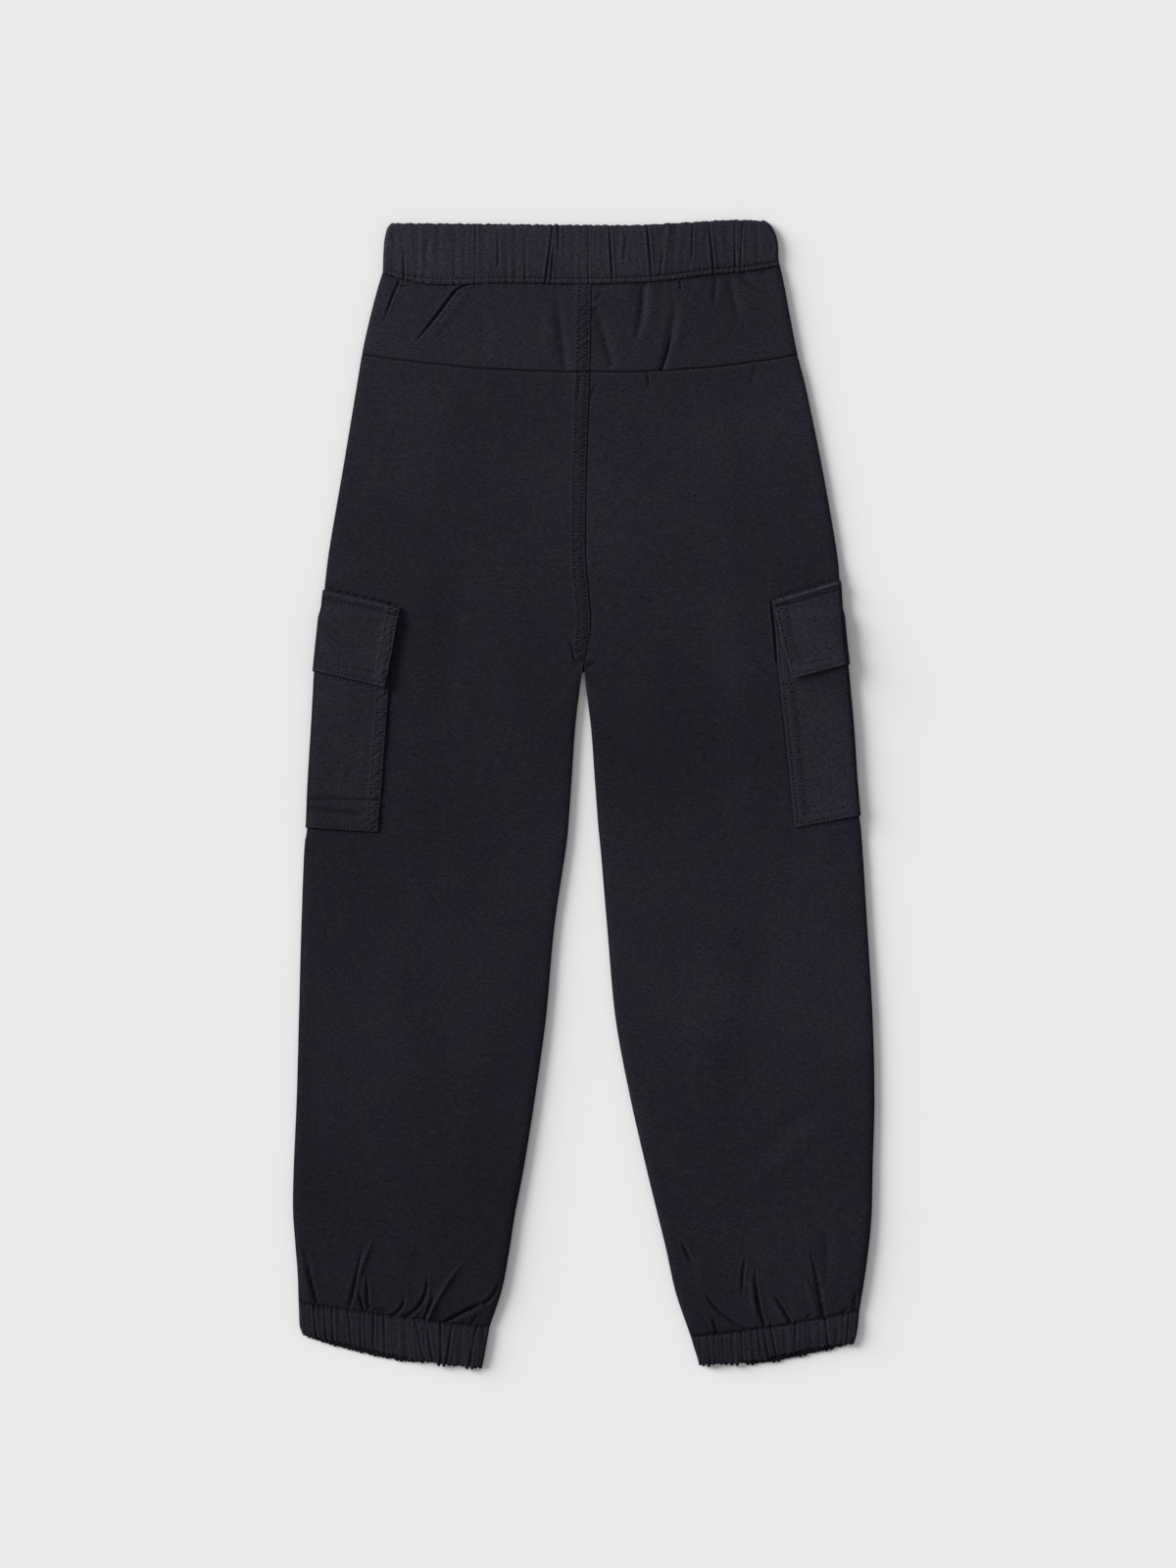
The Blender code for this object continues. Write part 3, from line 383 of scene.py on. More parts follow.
def dyed_material(name, navy, charcoal, patch_size, roughness, specular):
    """A dull material whose colour is the uneven dye, with its tree, its shader and the dye's node."""
    material = bpy.data.materials.new(name)
    material.use_nodes = True
    tree = material.node_tree
    shader = tree.nodes["Principled BSDF"]
    shader.inputs["Roughness"].default_value = roughness
    shader.inputs["Specular IOR Level"].default_value = specular
    colours = {"Navy": (*navy, 1.0), "Charcoal": (*charcoal, 1.0), "Patch Size": patch_size}
    dye = shader_node(tree, "Group", colours, node_tree=UNEVEN_DYE)
    tree.links.new(dye.outputs["Colour"], shader.inputs["Base Color"])
    return material, tree, shader, dye


def woven(tree, shader, yarn, distance):
    """Gives a material the weave's bump, and returns the weave's node."""
    weave = shader_node(tree, "Group", yarn, node_tree=TWILL_WEAVE)
    height = {"Strength": 0.6, "Distance": distance, "Height": weave.outputs["Height"]}
    tree.links.new(shader_node(tree, "Bump", height).outputs["Normal"], shader.inputs["Normal"])
    return weave


DYE_PATCH = 0.026  # metres across a bluer or a greyer patch
DYE_FADING = 0.7
RIB_SPACING = 0.0009
RIB_ANGLE = 1.1
YARN_CONTRAST = 1.8
YARN_BUMP = 0.00025
NAP_TINT = (0.62, 0.68, 0.85, 1.0)


def twill_material(name, navy, charcoal, rib_angle=RIB_ANGLE):
    """Cotton twill: dull, finely ribbed, with a faint nap that catches the light at the folds. Its colour
    is multiplied by the cloth's shade attribute: painted shade in the depth of the folds, seams and edges,
    painted highlights along some edges, and broad changes of tone."""
    material, tree, shader, dye = dyed_material(name, navy, charcoal, DYE_PATCH, 0.9, 0.10)
    yarn = {"Rib Spacing": RIB_SPACING, "Rib Angle": rib_angle, "Contrast": YARN_CONTRAST}
    weave = woven(tree, shader, yarn, YARN_BUMP)
    # the cloth's shade attribute: painted shade and painted highlights at each point
    folds = shader_node(tree, "Attribute", {}, attribute_name="shade").outputs["Fac"]
    tree.links.new(math_node(tree, "MULTIPLY", weave.outputs["Shade"], folds), dye.inputs["Shade"])
    dye.inputs["Fading"].default_value = DYE_FADING
    shader.inputs["Sheen Weight"].default_value = 0.05
    shader.inputs["Sheen Roughness"].default_value = 0.45
    shader.inputs["Sheen Tint"].default_value = NAP_TINT
    return material


Cloth = namedtuple("Cloth", "piece grid tree")
SHARP_ANGLE = 65.0  # degrees between two faces above which their edge stays sharp


def mesh_piece(name, points, faces, material):
    """A smooth mesh from points in millimetres, as an object that is part of the trousers."""
    mesh = bpy.data.meshes.new(name)
    mesh.from_pydata((points * MM).tolist(), [], faces)
    mesh.shade_smooth()
    mesh.materials.append(material)
    piece = bpy.data.objects.new(name, mesh)
    bpy.context.scene.collection.objects.link(piece)
    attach(piece, "root")
    return piece


def stands_for(cloth, node, slot, **cut):
    """Puts a piece of cloth in the place of its solid by hiding the solid. Its slot and how it was cut and
    lies are not used.
    """
    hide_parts(node)


def quads(index):
    """Quads over a grid of point numbers."""
    corners = [index[:-1, :-1], index[:-1, 1:], index[1:, 1:], index[1:, :-1]]
    return np.stack(corners, axis=-1).reshape(-1, 4)


def stepped_faces(index, coarse_lines, kept):
    """Faces over a grid of point numbers, whose first lines have only the kept columns."""
    faces = quads(index[coarse_lines:]).tolist() + quads(index[:coarse_lines][:, kept]).tolist()
    for first, last in zip(kept[:-1], kept[1:]):
        below = index[coarse_lines, first : last + 1][::-1]
        faces.append([index[coarse_lines - 1, first], index[coarse_lines - 1, last], *below])
    return faces


def cloth_piece(name, outer, inner, material, shade=1.0, rest=None, coarse_lines=0, kept=None):
    """A piece of cloth on a grid of points, lines by columns.

    With an inner grid it is a wall that is closed round its rim. Without one it is a thin shell, whose
    rim turns down to the height `rest`, or by the cloth's thickness. `shade` multiplies the colour of the
    outer side: it is 1, less where shade is painted into a fold, seam or edge, and more where a
    highlight is painted. Where there are coarse lines, they have only the kept columns. Returns the
    object, the outer grid and a tree of the faces."""
    count = outer.shape[0] * outer.shape[1]
    index = np.arange(count).reshape(outer.shape[:2])
    head = index[0, kept] if coarse_lines else index[0]
    faces = stepped_faces(index, coarse_lines, kept) if coarse_lines else quads(index).tolist()
    loop = np.concatenate([head[:-1], index[:-1, -1], index[-1, :0:-1], index[:0:-1, 0]])
    points, shades = outer.reshape(-1, 3), np.broadcast_to(shade, outer.shape[:2]).ravel()
    if inner is None:
        under = np.arange(len(loop)) + count
        rim = points[loop] - [0.0, 0.0, TWILL]
        if rest is not None:
            rim[:, 2] = rest
        points, shades = np.concatenate([points, rim]), np.concatenate([shades, shades[loop]])
    else:
        under = loop + count
        points = np.concatenate([points, inner.reshape(-1, 3)])
        shades = np.concatenate([shades, np.ones(count)])
        faces += (quads(index)[:, ::-1] + count).tolist()
    faces += np.stack([loop, under, np.roll(under, -1), np.roll(loop, -1)], axis=-1).tolist()
    across, down = outer[0, 1] - outer[0, 0], outer[1, 0] - outer[0, 0]
    if across[0] * down[1] < across[1] * down[0]:
        faces = [face[::-1] for face in faces]
    used = np.zeros(len(points), bool)
    used[[number for face in faces for number in face]] = True
    renumbered = (np.cumsum(used) - 1).tolist()
    faces = [[renumbered[number] for number in face] for face in faces]
    points, shades = points[used], shades[used]
    piece = mesh_piece(name, points, faces, material)
    piece.data.set_sharp_from_angle(angle=np.radians(SHARP_ANGLE))
    attribute = piece.data.attributes.new("shade", "FLOAT", "POINT")
    attribute.data.foreach_set("value", shades.astype(np.float32))
    return Cloth(piece, outer, BVHTree.FromPolygons(points.tolist(), faces))


EDGE_STEPS = [0.0, 0.3, 0.7, 1.2, 1.9, 2.8, 3.9, 5.3, ROLL, 9.0]
FRONT_STEPS = [*EDGE_STEPS, *np.arange(12.0, FRONT_REACH + LEVEL_MARGIN + RAMP + 2.0, 3.0)]
FRONT_DYES = ((0.0108, 0.0110, 0.0178), (0.0116, 0.0118, 0.0162))
front_twill = twill_material("front twill", *FRONT_DYES)

# Hollows in the underside, where cuff and waistband gather the front.
FRONT_CREASES = {
    "left": [Crease(*row) for row in (
        ("waist pleat", -120, 350, -112, 370, -108, 396, 3, 0.7),
        ("second waist pleat", -84, 340, -80, 366, -82, 394, 3, 0.6),
        ("third waist pleat", -46, 356, -42, 374, -40, 392, 2.6, 0.6),
        ("fourth waist pleat", -18, 346, -16, 368, -18, 392, 2.6, 0.6),
        ("outer cuff pleat", -196, -330, -198, -362, -194, -390, 2.6, 0.7),
        ("cuff pleat", -170, -340, -168, -368, -172, -394, 2.8, 0.8),
        ("long cuff pleat", -136, -316, -142, -356, -148, -396, 3, 0.8),
        ("inner cuff pleat", -104, -346, -110, -376, -120, -400, 2.6, 0.7),
        ("inseam pleat", -82, -352, -90, -380, -98, -403, 2.4, 0.7),
    )],
    "right": [Crease(*row) for row in (
        ("waist pleat", 118, 356, 112, 376, 110, 399, 3, 0.7),
        ("second waist pleat", 88, 344, 84, 368, 86, 396, 3, 0.6),
        ("third waist pleat", 52, 350, 50, 372, 48, 392, 2.6, 0.6),
        ("fourth waist pleat", 22, 352, 24, 370, 22, 390, 2.6, 0.6),
        ("outer cuff pleat", 192, -334, 194, -366, 190, -396, 2.6, 0.7),
        ("cuff pleat", 168, -344, 166, -372, 170, -400, 2.8, 0.8),
        ("long cuff pleat", 142, -320, 146, -362, 150, -402, 3, 0.8),
        ("inner cuff pleat", 112, -350, 118, -380, 126, -406, 2.6, 0.7),
        ("inseam pleat", 90, -360, 96, -386, 104, -409, 2.4, 0.7),
    )],
}
FRONT_CUT = (0.222, 0.810)  # width and length of one front as cut, without its seam allowances
FRONT_CUT_AREA = 0.158  # square metres

fronts = {}
for leg in LEGS:
    stations = leg.stations(0, CUFF_SEAM, 5.0)[:, None]
    x, y, from_outseam, from_inner = leg_lines(leg, stations, spaced_columns(FRONT_STEPS, EDGE_STEPS, 24))
    from_inseam = inseam_distance(stations, from_inner)
    hollow = crease_relief(FRONT_CREASES[leg.name], x, y)[0] * round_rise(from_outseam, ROLL)
    low = front_floor(leg, y, from_outseam, from_inseam) + hollow * round_rise(from_inseam, ROLL)
    front = cloth_piece(
        f"{leg.name}_front_panel", np.dstack([x, y, low + TWILL]), np.dstack([x, y, low]), front_twill
    )
    stands_for(
        front, f"front_leg_{leg.name}", "leg_twill", flat=FRONT_CUT, area=FRONT_CUT_AREA, held="laid"
    )
    fronts[leg.name] = front

# ---------------------------------------------------------------- Back leg panels and yokes
# Each back is a shaped yoke over a long leg panel. The centre-back seam is felled: its allowances lie to
# the left under two rows of topstitching. The yoke seam is pressed open and has no topstitching.
# Elastic gathers the yokes at the waistband and the legs at the cuffs, which throws the drag lines.
BACK_DYES = ((0.0108, 0.0110, 0.0180), (0.0118, 0.0120, 0.0164))
YOKE_DYES = ((0.0129, 0.0129, 0.0212), (0.0138, 0.0139, 0.0196))
back_twill = twill_material("back twill", *BACK_DYES)
yoke_twill = twill_material("yoke twill", *YOKE_DYES)

FELL_WIDTH = 10.4  # seam allowance of the seat seam
FELL_HEIGHT = 0.4
FELL_ROWS = (2.6, 9.3)  # the two rows of topstitching, from the seam
FELL_MIDDLE = 6.0  # between the rows, where slanting ripples lie
FELL_RIPPLE = 0.7
FELL_SHADE = 0.4  # how dark painted shade makes the ripples' hollows and the outer row of stitches
SEAM_WOBBLE = 0.3  # how far the yoke seam strays from its line
FAR_OFF = 9.0  # a distance at which the seat seam has no effect
HEAVY_GATHERS_X = 100.0  # the yoke is gathered most here, and over this width
HEAVY_GATHERS_WIDTH = 40.0
STREAK_HEIGHT = 0.16  # fine streaks that run out of the gathers
STREAK_LENGTH = 30.0
FELL_STEPS = [0.0, 0.4, 0.9, 1.5, 2.1, 2.6, 3.1, 3.8, 4.8, 6.2, 7.6, 8.6, 9.3, 9.9, 10.5, 11.1, 12.0, 13.6]
PLAIN_STEPS = [0.0, 0.3, 0.8, 1.4, 2.2, 3.2, 4.6, 6.4, 8.6]
STITCH_DIP = 0.28  # how far a row of stitches pulls the cloth down
STITCH_DIP_WIDTH = 0.8
LEAST_ROOM = 0.15  # a trough stays this far above the front panel
SOFT_RAMP = 34.0  # beside the pocket the back comes down over this width
SOFT_FROM = 25.0  # this far in from the outseam
EDGE_SHADE = 0.75  # how dark painted shade makes the cloth where it turns under at a side seam, as a fold is
FOLD_DARK = 0.62  # how much darker than flat cloth painted shade makes the bottom of a deep fold

YOKE_CREASES = {
    "left": [Crease(*row) for row in (
        ("side tuck", -154, 359, -149, 375, -142, 392, 0.95, -1.3),
        ("long drag line", -134, 341, -116, 362.5, -99.5, 384.5, 1.05, -1.95),
        ("its head", -105.5, 377, -97, 386.5, -83, 392.5, 0.95, -1.8),
        ("its lit bank", -125, 341, -107.5, 362.5, -92, 382, 4, 0.65),
        ("tuck under the lip", -144.5, 390, -138.5, 388.5, -133, 390.5, 0.85, -0.82, "both"),
        ("soft hollow", -74.5, 329.5, -77.5, 355, -80, 383.5, 6, -0.43, "both"),
        ("roll by the fell", -26, 328, -26.5, 352, -27.5, 385, 4.5, 0.5, "both"),
        ("hollow by the fell", -22.5, 398, -18, 356, -14.5, 327.5, 3.2, -1),
        ("drag to the side seam", -162.5, 344.5, -159.5, 361, -153.5, 379, 5, -0.36, "both"),
    )],
    "right": [Crease(*row) for row in (
        ("seam tuck", 7, 374.5, 10, 380.5, 14, 386, 1, -0.73, "both"),
        ("seat pull", 21.5, 326, 15.5, 349, 7.5, 374, 3.1, -1.1, "neither"),
        ("first gather", 37, 342.5, 43, 364, 45.5, 390.5, 3.1, -1.35),
        ("its lit bank", 44, 344.5, 50, 364, 52, 389.5, 4, 0.5),
        ("second gather", 68.5, 383.5, 67, 357.5, 58.5, 326, 3.1, -1.2),
        ("its foot", 66.8, 357, 64, 341, 58.6, 325, 1.05, -1.35),
        ("its lit bank", 74.5, 377.5, 73, 356.5, 64, 329.5, 3.5, 0.35, "both"),
        ("pinch", 74, 383.5, 73.5, 388, 72.5, 392.5, 0.85, -1.09),
        ("third gather", 98, 371, 99.5, 383, 100, 394.5, 1.9, -0.8),
        ("fourth gather", 120.5, 358, 116, 373, 111.5, 391.5, 3.1, -0.9),
        ("end gather", 145, 382, 131.5, 386.5, 121, 397, 2.6, -0.8),
        ("soft roll", 131, 350, 128, 367, 125.5, 386.5, 7, 0.43, "both"),
    )],
}
LEG_CREASES = {
    "left": [Crease(*row) for row in (
        ("tuck below the yoke", -137, 313, -137, 319, -137.5, 325, 1.02, -0.36),
        ("end of the fell", -8.4, 122, -9.2, 112.5, -7.8, 104, 0.8, -1.1),
        ("foot of the fell", -8, 104.2, -4, 103, 0.4, 103.4, 0.8, -1.2, "neither"),
        ("tuck by the fell", -6.5, 293.5, -5, 307, -3.5, 320.5, 1.36, -0.55),
        ("seat roll", -120, 200, -112, 262, -95, 322, 18, 0.79, "both"),
        ("thigh roll", -60, 130, -50, 70, -30, 10, 14, 0.43, "both"),
        ("calf roll", -150, -90, -140, -160, -120, -230, 20, 1.01, "both"),
        ("shin roll", -70, -150, -84, -225, -95, -300, 16, 0.58, "both"),
        ("outer pleat", -218, -326, -211, -362, -204.8, -387, 1.15, -1.6),
        ("its lit bank", -220, -342.5, -215, -366.5, -209.5, -387, 3.2, 0.78),
        ("long pleat", -167, -333.5, -175, -371, -179.5, -390.5, 1.22, -1.55),
        ("its crest", -160, -333.5, -169, -357.5, -176.5, -375.5, 1.84, 1.18, "both"),
        ("short pleat", -172.5, -377, -171.5, -384.5, -169, -393, 1.02, -1.55),
        ("fine pleat", -166, -360.5, -166, -377.5, -165, -392, 1.16, -1.27),
        ("seam tuck", -164.5, -390.5, -155.5, -393.5, -146, -394.5, 0.88, -1.27, "both"),
        ("fourth pleat", -139, -380.5, -139.5, -390.5, -148, -398, 1.16, -1.55),
        ("fifth pleat", -121, -359, -122.5, -383.5, -137, -398.5, 1.3, -1.73),
        ("sixth pleat", -114.5, -380.5, -117.5, -389, -122, -400, 1.16, -1.46),
        ("its crest", -86, -351.5, -104, -371.5, -119.5, -400, 1.75, 1.43),
        ("curved pleat", -65, -368.5, -68, -379, -76, -388, 1.22, -1.64),
        ("foot of the curved pleat", -71, -385, -87.5, -392.5, -107.5, -403, 1.3, -2.09),
        ("bank of the curved pleat", -72.5, -391, -86, -397, -101, -404.5, 2.02, 0.76),
        ("inner tuck", -80.5, -396.5, -84.5, -401, -89, -406, 1.02, -1.36),
        ("outseam hollow", -206, -120, -209, -215, -205, -310, 11, -0.65, "both"),
        ("groove above the flap", -196, 157.7, -168, 150.8, -141, 144.2, 0.7, -1.5, "neither"),
        ("groove beside the pocket", -149.2, 78, -152.3, 30, -157, -27, 0.7, -0.5, "neither"),
        ("pull beside the pocket", -153.5, 1, -146, -2.5, -137, -8.5, 1.3, -0.9, "both"),
        ("soft hollow", -125, -338, -126.5, -359, -129.5, -378.5, 6, -0.5, "both"),
    )],
    "right": [Crease(*row) for row in (
        ("lip at the crotch", 0.6, 104.2, 3.6, 103.4, 8, 102.4, 1.1, 1.1, "both"),
        ("fold under the lip", 0.4, 101.2, 4.4, 100.4, 9.5, 100.6, 0.95, -1.7, "both"),
        ("tuck by the seam", 4, 299.5, 7, 309.5, 11.5, 319, 1.09, -0.73, "both"),
        ("short tuck", 50.5, 307, 49, 314.5, 48.5, 322, 0.96, -0.91),
        ("side tuck", 126.5, 311.5, 128.5, 319, 131, 327.5, 1.22, -0.73),
        ("seat roll", 110, 190, 106, 256, 95, 322, 18, 0.79, "both"),
        ("thigh roll", 60, 140, 54, 80, 40, 20, 14, 0.43, "both"),
        ("calf roll", 120, -80, 105, -155, 100, -240, 22, 1.01, "both"),
        ("shin roll", 80, -140, 92, -215, 100, -290, 16, 0.58, "both"),
        ("inner pleat", 73.5, -339.5, 78.5, -350, 84, -361, 1.5, -1.27, "both"),
        ("inner bank", 86.5, -344, 90.5, -366.5, 95.5, -389, 5, 0.5, "both"),
        ("slanting pleat", 91, -373, 101, -392.5, 126.5, -409.5, 1.3, -1.55),
        ("small tuck", 97, -398, 99, -403, 101.5, -411, 1.09, -1.27),
        ("straight pleat", 123.5, -351, 121, -366, 120.6, -387, 1.1, -1.25, "both"),
        ("deep pleat", 130.5, -354, 131.6, -381, 137.4, -404, 1.3, -1.7),
        ("its crest", 125, -363.5, 128.5, -383, 131, -405, 2.21, 0.76, "both"),
        ("side pleat", 140.5, -377, 149.6, -389.1, 157.4, -402.5, 1.05, -1.6),
        ("its bank", 142, -383, 147.5, -392.5, 153.5, -403, 1.84, 0.76),
        ("long pleat", 170.5, -340, 177.5, -371, 183, -402, 1.2, -1.8),
        ("its branch", 180.5, -324, 185.5, -348, 182.5, -380, 3.1, -0.8, "both"),
        ("its lit bank", 167.5, -363.5, 173.5, -383, 178, -400.5, 2.21, 0.76, "both"),
        ("outer pleat", 206.5, -373, 206.5, -384.5, 205.5, -397, 1.16, -1.46),
        ("seam tuck", 167.5, -401.5, 170.5, -398.5, 173.5, -395.5, 0.88, -1, "both"),
        ("outer seam tuck", 194.5, -398.5, 199, -393.5, 204.5, -391.5, 0.88, -1, "both"),
        ("long drag", 199, -222, 152, -258, 106, -292, 8, -0.79, "both"),
        ("its lit bank", 205, -238, 160, -274, 112, -308, 9, 0.58, "both"),
        ("groove beside the flap", 142.4, 149, 144.9, 127, 147, 100, 0.8, -1.5, "neither"),
        ("groove above the flap", 143, 149.6, 167, 157.2, 192, 164.6, 0.8, -1, "neither"),
        ("groove beside the pocket", 146.8, 102, 153.7, 40, 159.6, -24, 0.6, -0.3, "neither"),
        ("middle seam tuck", 125, -410, 130, -408, 136, -406, 0.88, -1, "both"),
    )],
}
# Painted light and shade of a leg's broad folds, by height: lighter over the seat, darker at the foot.
Tone = namedtuple("Tone", "y shade")
LEG_PAINTED_LIGHT = {
    "left": [Tone(*row) for row in (
        (330, 1.09), (250, 1.15), (150, 1.02), (60, 0.9), (-60, 0.95), (-180, 0.98), (-260, 0.85),
        (-310, 0.75), (-410, 0.8),
    )],
    "right": [Tone(*row) for row in (
        (391, 0.95), (345, 0.97), (315, 1.1), (250, 1.18), (150, 0.99), (60, 0.86), (-60, 0.96),
        (-180, 1.07), (-260, 0.93), (-310, 0.84), (-410, 0.88),
    )],
}
YOKE_CUT = {"left": (0.178, 0.078), "right": (0.162, 0.084)}
YOKE_CUT_AREA = {"left": 0.0119, "right": 0.0108}
BACK_CUT = (0.222, 0.745)
BACK_CUT_AREA = 0.148


def stitch_dip(distance, rows):
    """How far rows of stitches at given distances from an edge pull the cloth down."""
    return sum(STITCH_DIP * soft_line(distance - row, STITCH_DIP_WIDTH) for row in rows)


def pucker(x, step):
    """A fine uneven ripple, about -1 to 1, as stitches make it in a gathered edge."""
    return (np.sin(x / step) + np.sin(1.43 * x / step + 1.9) + 0.8 * np.sin(0.61 * x / step + 0.4)) / 2.8


def soft_line(distance, width):
    """1 on a line, falling to 0 beside it."""
    return np.exp(-((distance / width) ** 2))


def broken(level, depth, x, step):
    """A painted shade from 0 to 1 that stitches or gathers break up along x."""
    return np.clip(level + depth * pucker(x, step), 0.0, 1.0)


def darkest(*shades):
    """The greatest of several painted shades at each point."""
    return reduce(np.maximum, shades)


# Yoke and leg are gathered at one seam each: the yoke at its head and the leg at its foot.
Panel = namedtuple("Panel", "name stations columns creases gathered_line coarse_lines kept material")


def back_panel(leg, panel):
    """A back panel between two stations, with painted shade in its folds, seams and edges."""
    stations = panel.stations[:, None]
    x, y, from_outseam, from_inner = leg_lines(leg, stations, panel.columns)
    y = y + SEAM_WOBBLE * pucker(x, 6.0) * soft_line(stations - YOKE_SEAM, 0.4)
    from_inseam = inseam_distance(stations, from_inner)
    rise = round_rise(from_outseam, ROLL) * round_rise(from_inseam, ROLL)
    close, soft = (front_floor(leg, y, from_outseam, from_inseam, ramp) for ramp in (RAMP, SOFT_RAMP))
    floor = close + (soft - close) * smoothstep(from_outseam / SOFT_FROM)
    relief, dark = crease_relief(panel.creases, x, y)
    first_edge, last_edge = np.hypot(x - x[:1], y - y[:1]), np.hypot(x - x[-1:], y - y[-1:])
    gathered = first_edge if panel.gathered_line == 0 else last_edge
    relief = relief + rumple(x, y, 0.2, 26.0) + 0.25 * pucker(x, 1.1) * soft_line(gathered, 4.0)
    relief = relief + STREAK_HEIGHT * pucker(x + 0.2 * y, 3.2) * np.exp(-gathered / STREAK_LENGTH)
    high = floor + PLY + TWILL + (leg.column("air", stations) + relief) * rise
    along = smoothstep((CROTCH + 0.15 - stations) / 0.3)
    if leg.name == "left":
        fell = FELL_HEIGHT * (1 - smoothstep((from_inner - FELL_WIDTH + 0.6) / 2.4))
        fell = fell - stitch_dip(from_inner, FELL_ROWS)
        between_rows = soft_line(from_inner - FELL_MIDDLE, 4.4)
        uneven = 0.6 + 0.4 * np.sin(y / 13.0)
        ripple = FELL_RIPPLE * uneven * pucker(y + 0.7 * from_inner, 0.75) * between_rows
        # painted shade in the hollows between the slanting ripples and along the outer row of stitches
        slanting = 0.5 - 0.6 * pucker(y + 0.9 * from_inner, 0.55)
        row = FELL_SHADE * along * (0.5 - 0.5 * pucker(y, 0.8)) * soft_line(from_inner - FELL_ROWS[1], 1.3)
        dark = darkest(dark, FELL_SHADE * along * slanting * between_rows, row)
        high = high + (fell + ripple) * along
    from_seat_seam = np.where(along > 0, from_inner + FAR_OFF * (1 - along), FAR_OFF)
    # each seam sinks the cloth and gets a thin line of painted shade
    for edge, depth, shade in ((first_edge, 1.0, 0.9), (last_edge, 1.0, 0.9), (from_seat_seam, 0.4, 0.35)):
        high = high - depth * SEAM_DEPTH * (1 - round_rise(edge, SEAM_ROUND))
        dark = np.maximum(dark, shade * soft_line(edge, 0.5))
    # painted shade where the cloth turns under at the side seams, and in a broken band and a soft fall-off
    # along the gathered seam
    bulk = 1.5 + 1.8 * soft_line(x - HEAVY_GATHERS_X, HEAVY_GATHERS_WIDTH) + 0.5 * pucker(x, 1.7)
    dark = darkest(
        dark, EDGE_SHADE * np.maximum(soft_line(from_outseam, 1.3), soft_line(from_inseam, 1.1)),
        broken(0.8, 0.5, x, 0.9) * soft_line(gathered, bulk),
        broken(0.2, 0.25, x, 2.6) * np.exp(-gathered / 7.0),
    )
    high = np.maximum(high, floor + TWILL + LEAST_ROOM)
    # painted light and shade of the leg's broad folds, by height
    tones = LEG_PAINTED_LIGHT[leg.name]
    tone = smooth_line([-tone.y for tone in tones], [tone.shade for tone in tones], -y)
    if stations[0, 0] > 0:
        y[0] -= SEAM_GAP / 2
    else:
        y[-1] += SEAM_GAP / 2
    return cloth_piece(
        panel.name, np.dstack([x, y, high]), None, panel.material, (1 - FOLD_DARK * dark) * tone,
        coarse_lines=panel.coarse_lines, kept=panel.kept,
    )


YOKE_FILL = 220  # even columns between the outseam and the seat seam
LEG_FILL = 147
POCKET_EDGE_STEPS = [*np.arange(10.6, 40.0, 1.8), *np.arange(40.6, 60.4, 0.6)]  # close where a pocket ends
SEAT_LINES = 1.6  # distances between the lines of points: seat, leg and foot
LEG_LINES = 2.6
FOOT_LINES = 0.8

backs, yokes = {}, {}
for leg in LEGS:
    steps = FELL_STEPS if leg.name == "left" else PLAIN_STEPS
    yoke_panel = Panel(
        f"{leg.name}_yoke", leg.stations(0, YOKE_SEAM, 0.65), spaced_columns(EDGE_STEPS, steps, YOKE_FILL),
        YOKE_CREASES[leg.name], 0, 0, None, yoke_twill,
    )
    yokes[leg.name] = back_panel(leg, yoke_panel)
    stands_for(
        yokes[leg.name], f"back_yoke_{leg.name}", "leg_twill", flat=YOKE_CUT[leg.name],
        area=YOKE_CUT_AREA[leg.name], held="gathered", rests_on=[f"{leg.name}_front_panel"],
    )
    seat, thigh = leg.stations(YOKE_SEAM, CROTCH, SEAT_LINES), leg.stations(CROTCH, SHIN, LEG_LINES)
    above_foot = np.concatenate([seat[:-1], thigh[:-1]])
    lines = np.concatenate([above_foot, leg.stations(SHIN, CUFF_SEAM, FOOT_LINES)])
    outer_steps = [*EDGE_STEPS, *POCKET_EDGE_STEPS]
    edge_columns = len(outer_steps)
    kept = np.concatenate([
        np.arange(edge_columns), np.arange(edge_columns + 1, edge_columns + LEG_FILL, 2),
        edge_columns + LEG_FILL + np.arange(len(steps)),
    ])
    leg_panel = Panel(
        f"{leg.name}_back_panel", lines, spaced_columns(outer_steps, steps, LEG_FILL),
        LEG_CREASES[leg.name], -1, len(above_foot), kept, back_twill,
    )
    backs[leg.name] = back_panel(leg, leg_panel)
    stands_for(
        backs[leg.name], f"back_leg_{leg.name}", "leg_twill", flat=BACK_CUT, area=BACK_CUT_AREA,
        held="laid", rests_on=[f"{leg.name}_front_panel"],
    )

# The allowances of the centre-back seam, which lie inside it from the waistband to just below the crotch.
# Their colour is darkened with painted shade, and below the crotch they show as dark cloth in the gap
# between the legs, in place of the shadow there.
ALLOWANCE = 0.55  # thickness of the pressed allowance
ALLOWANCE_TOP = 1.75
seam_y = np.linspace(391.0, 94.0, 84)[:, None]
seam_x = seat_seam_x(seam_y) + np.linspace(-9.0, 1.5, 8)[None, :]
seam_y = np.broadcast_to(seam_y, seam_x.shape)
# painted shade: the allowance's colour is scaled by 0.4
allowance = cloth_piece(
    "seat_seam_allowance", np.dstack([seam_x, seam_y, np.full(seam_x.shape, ALLOWANCE_TOP)]),
    np.dstack([seam_x, seam_y, np.full(seam_x.shape, ALLOWANCE_TOP - ALLOWANCE)]), back_twill, 0.4,
)

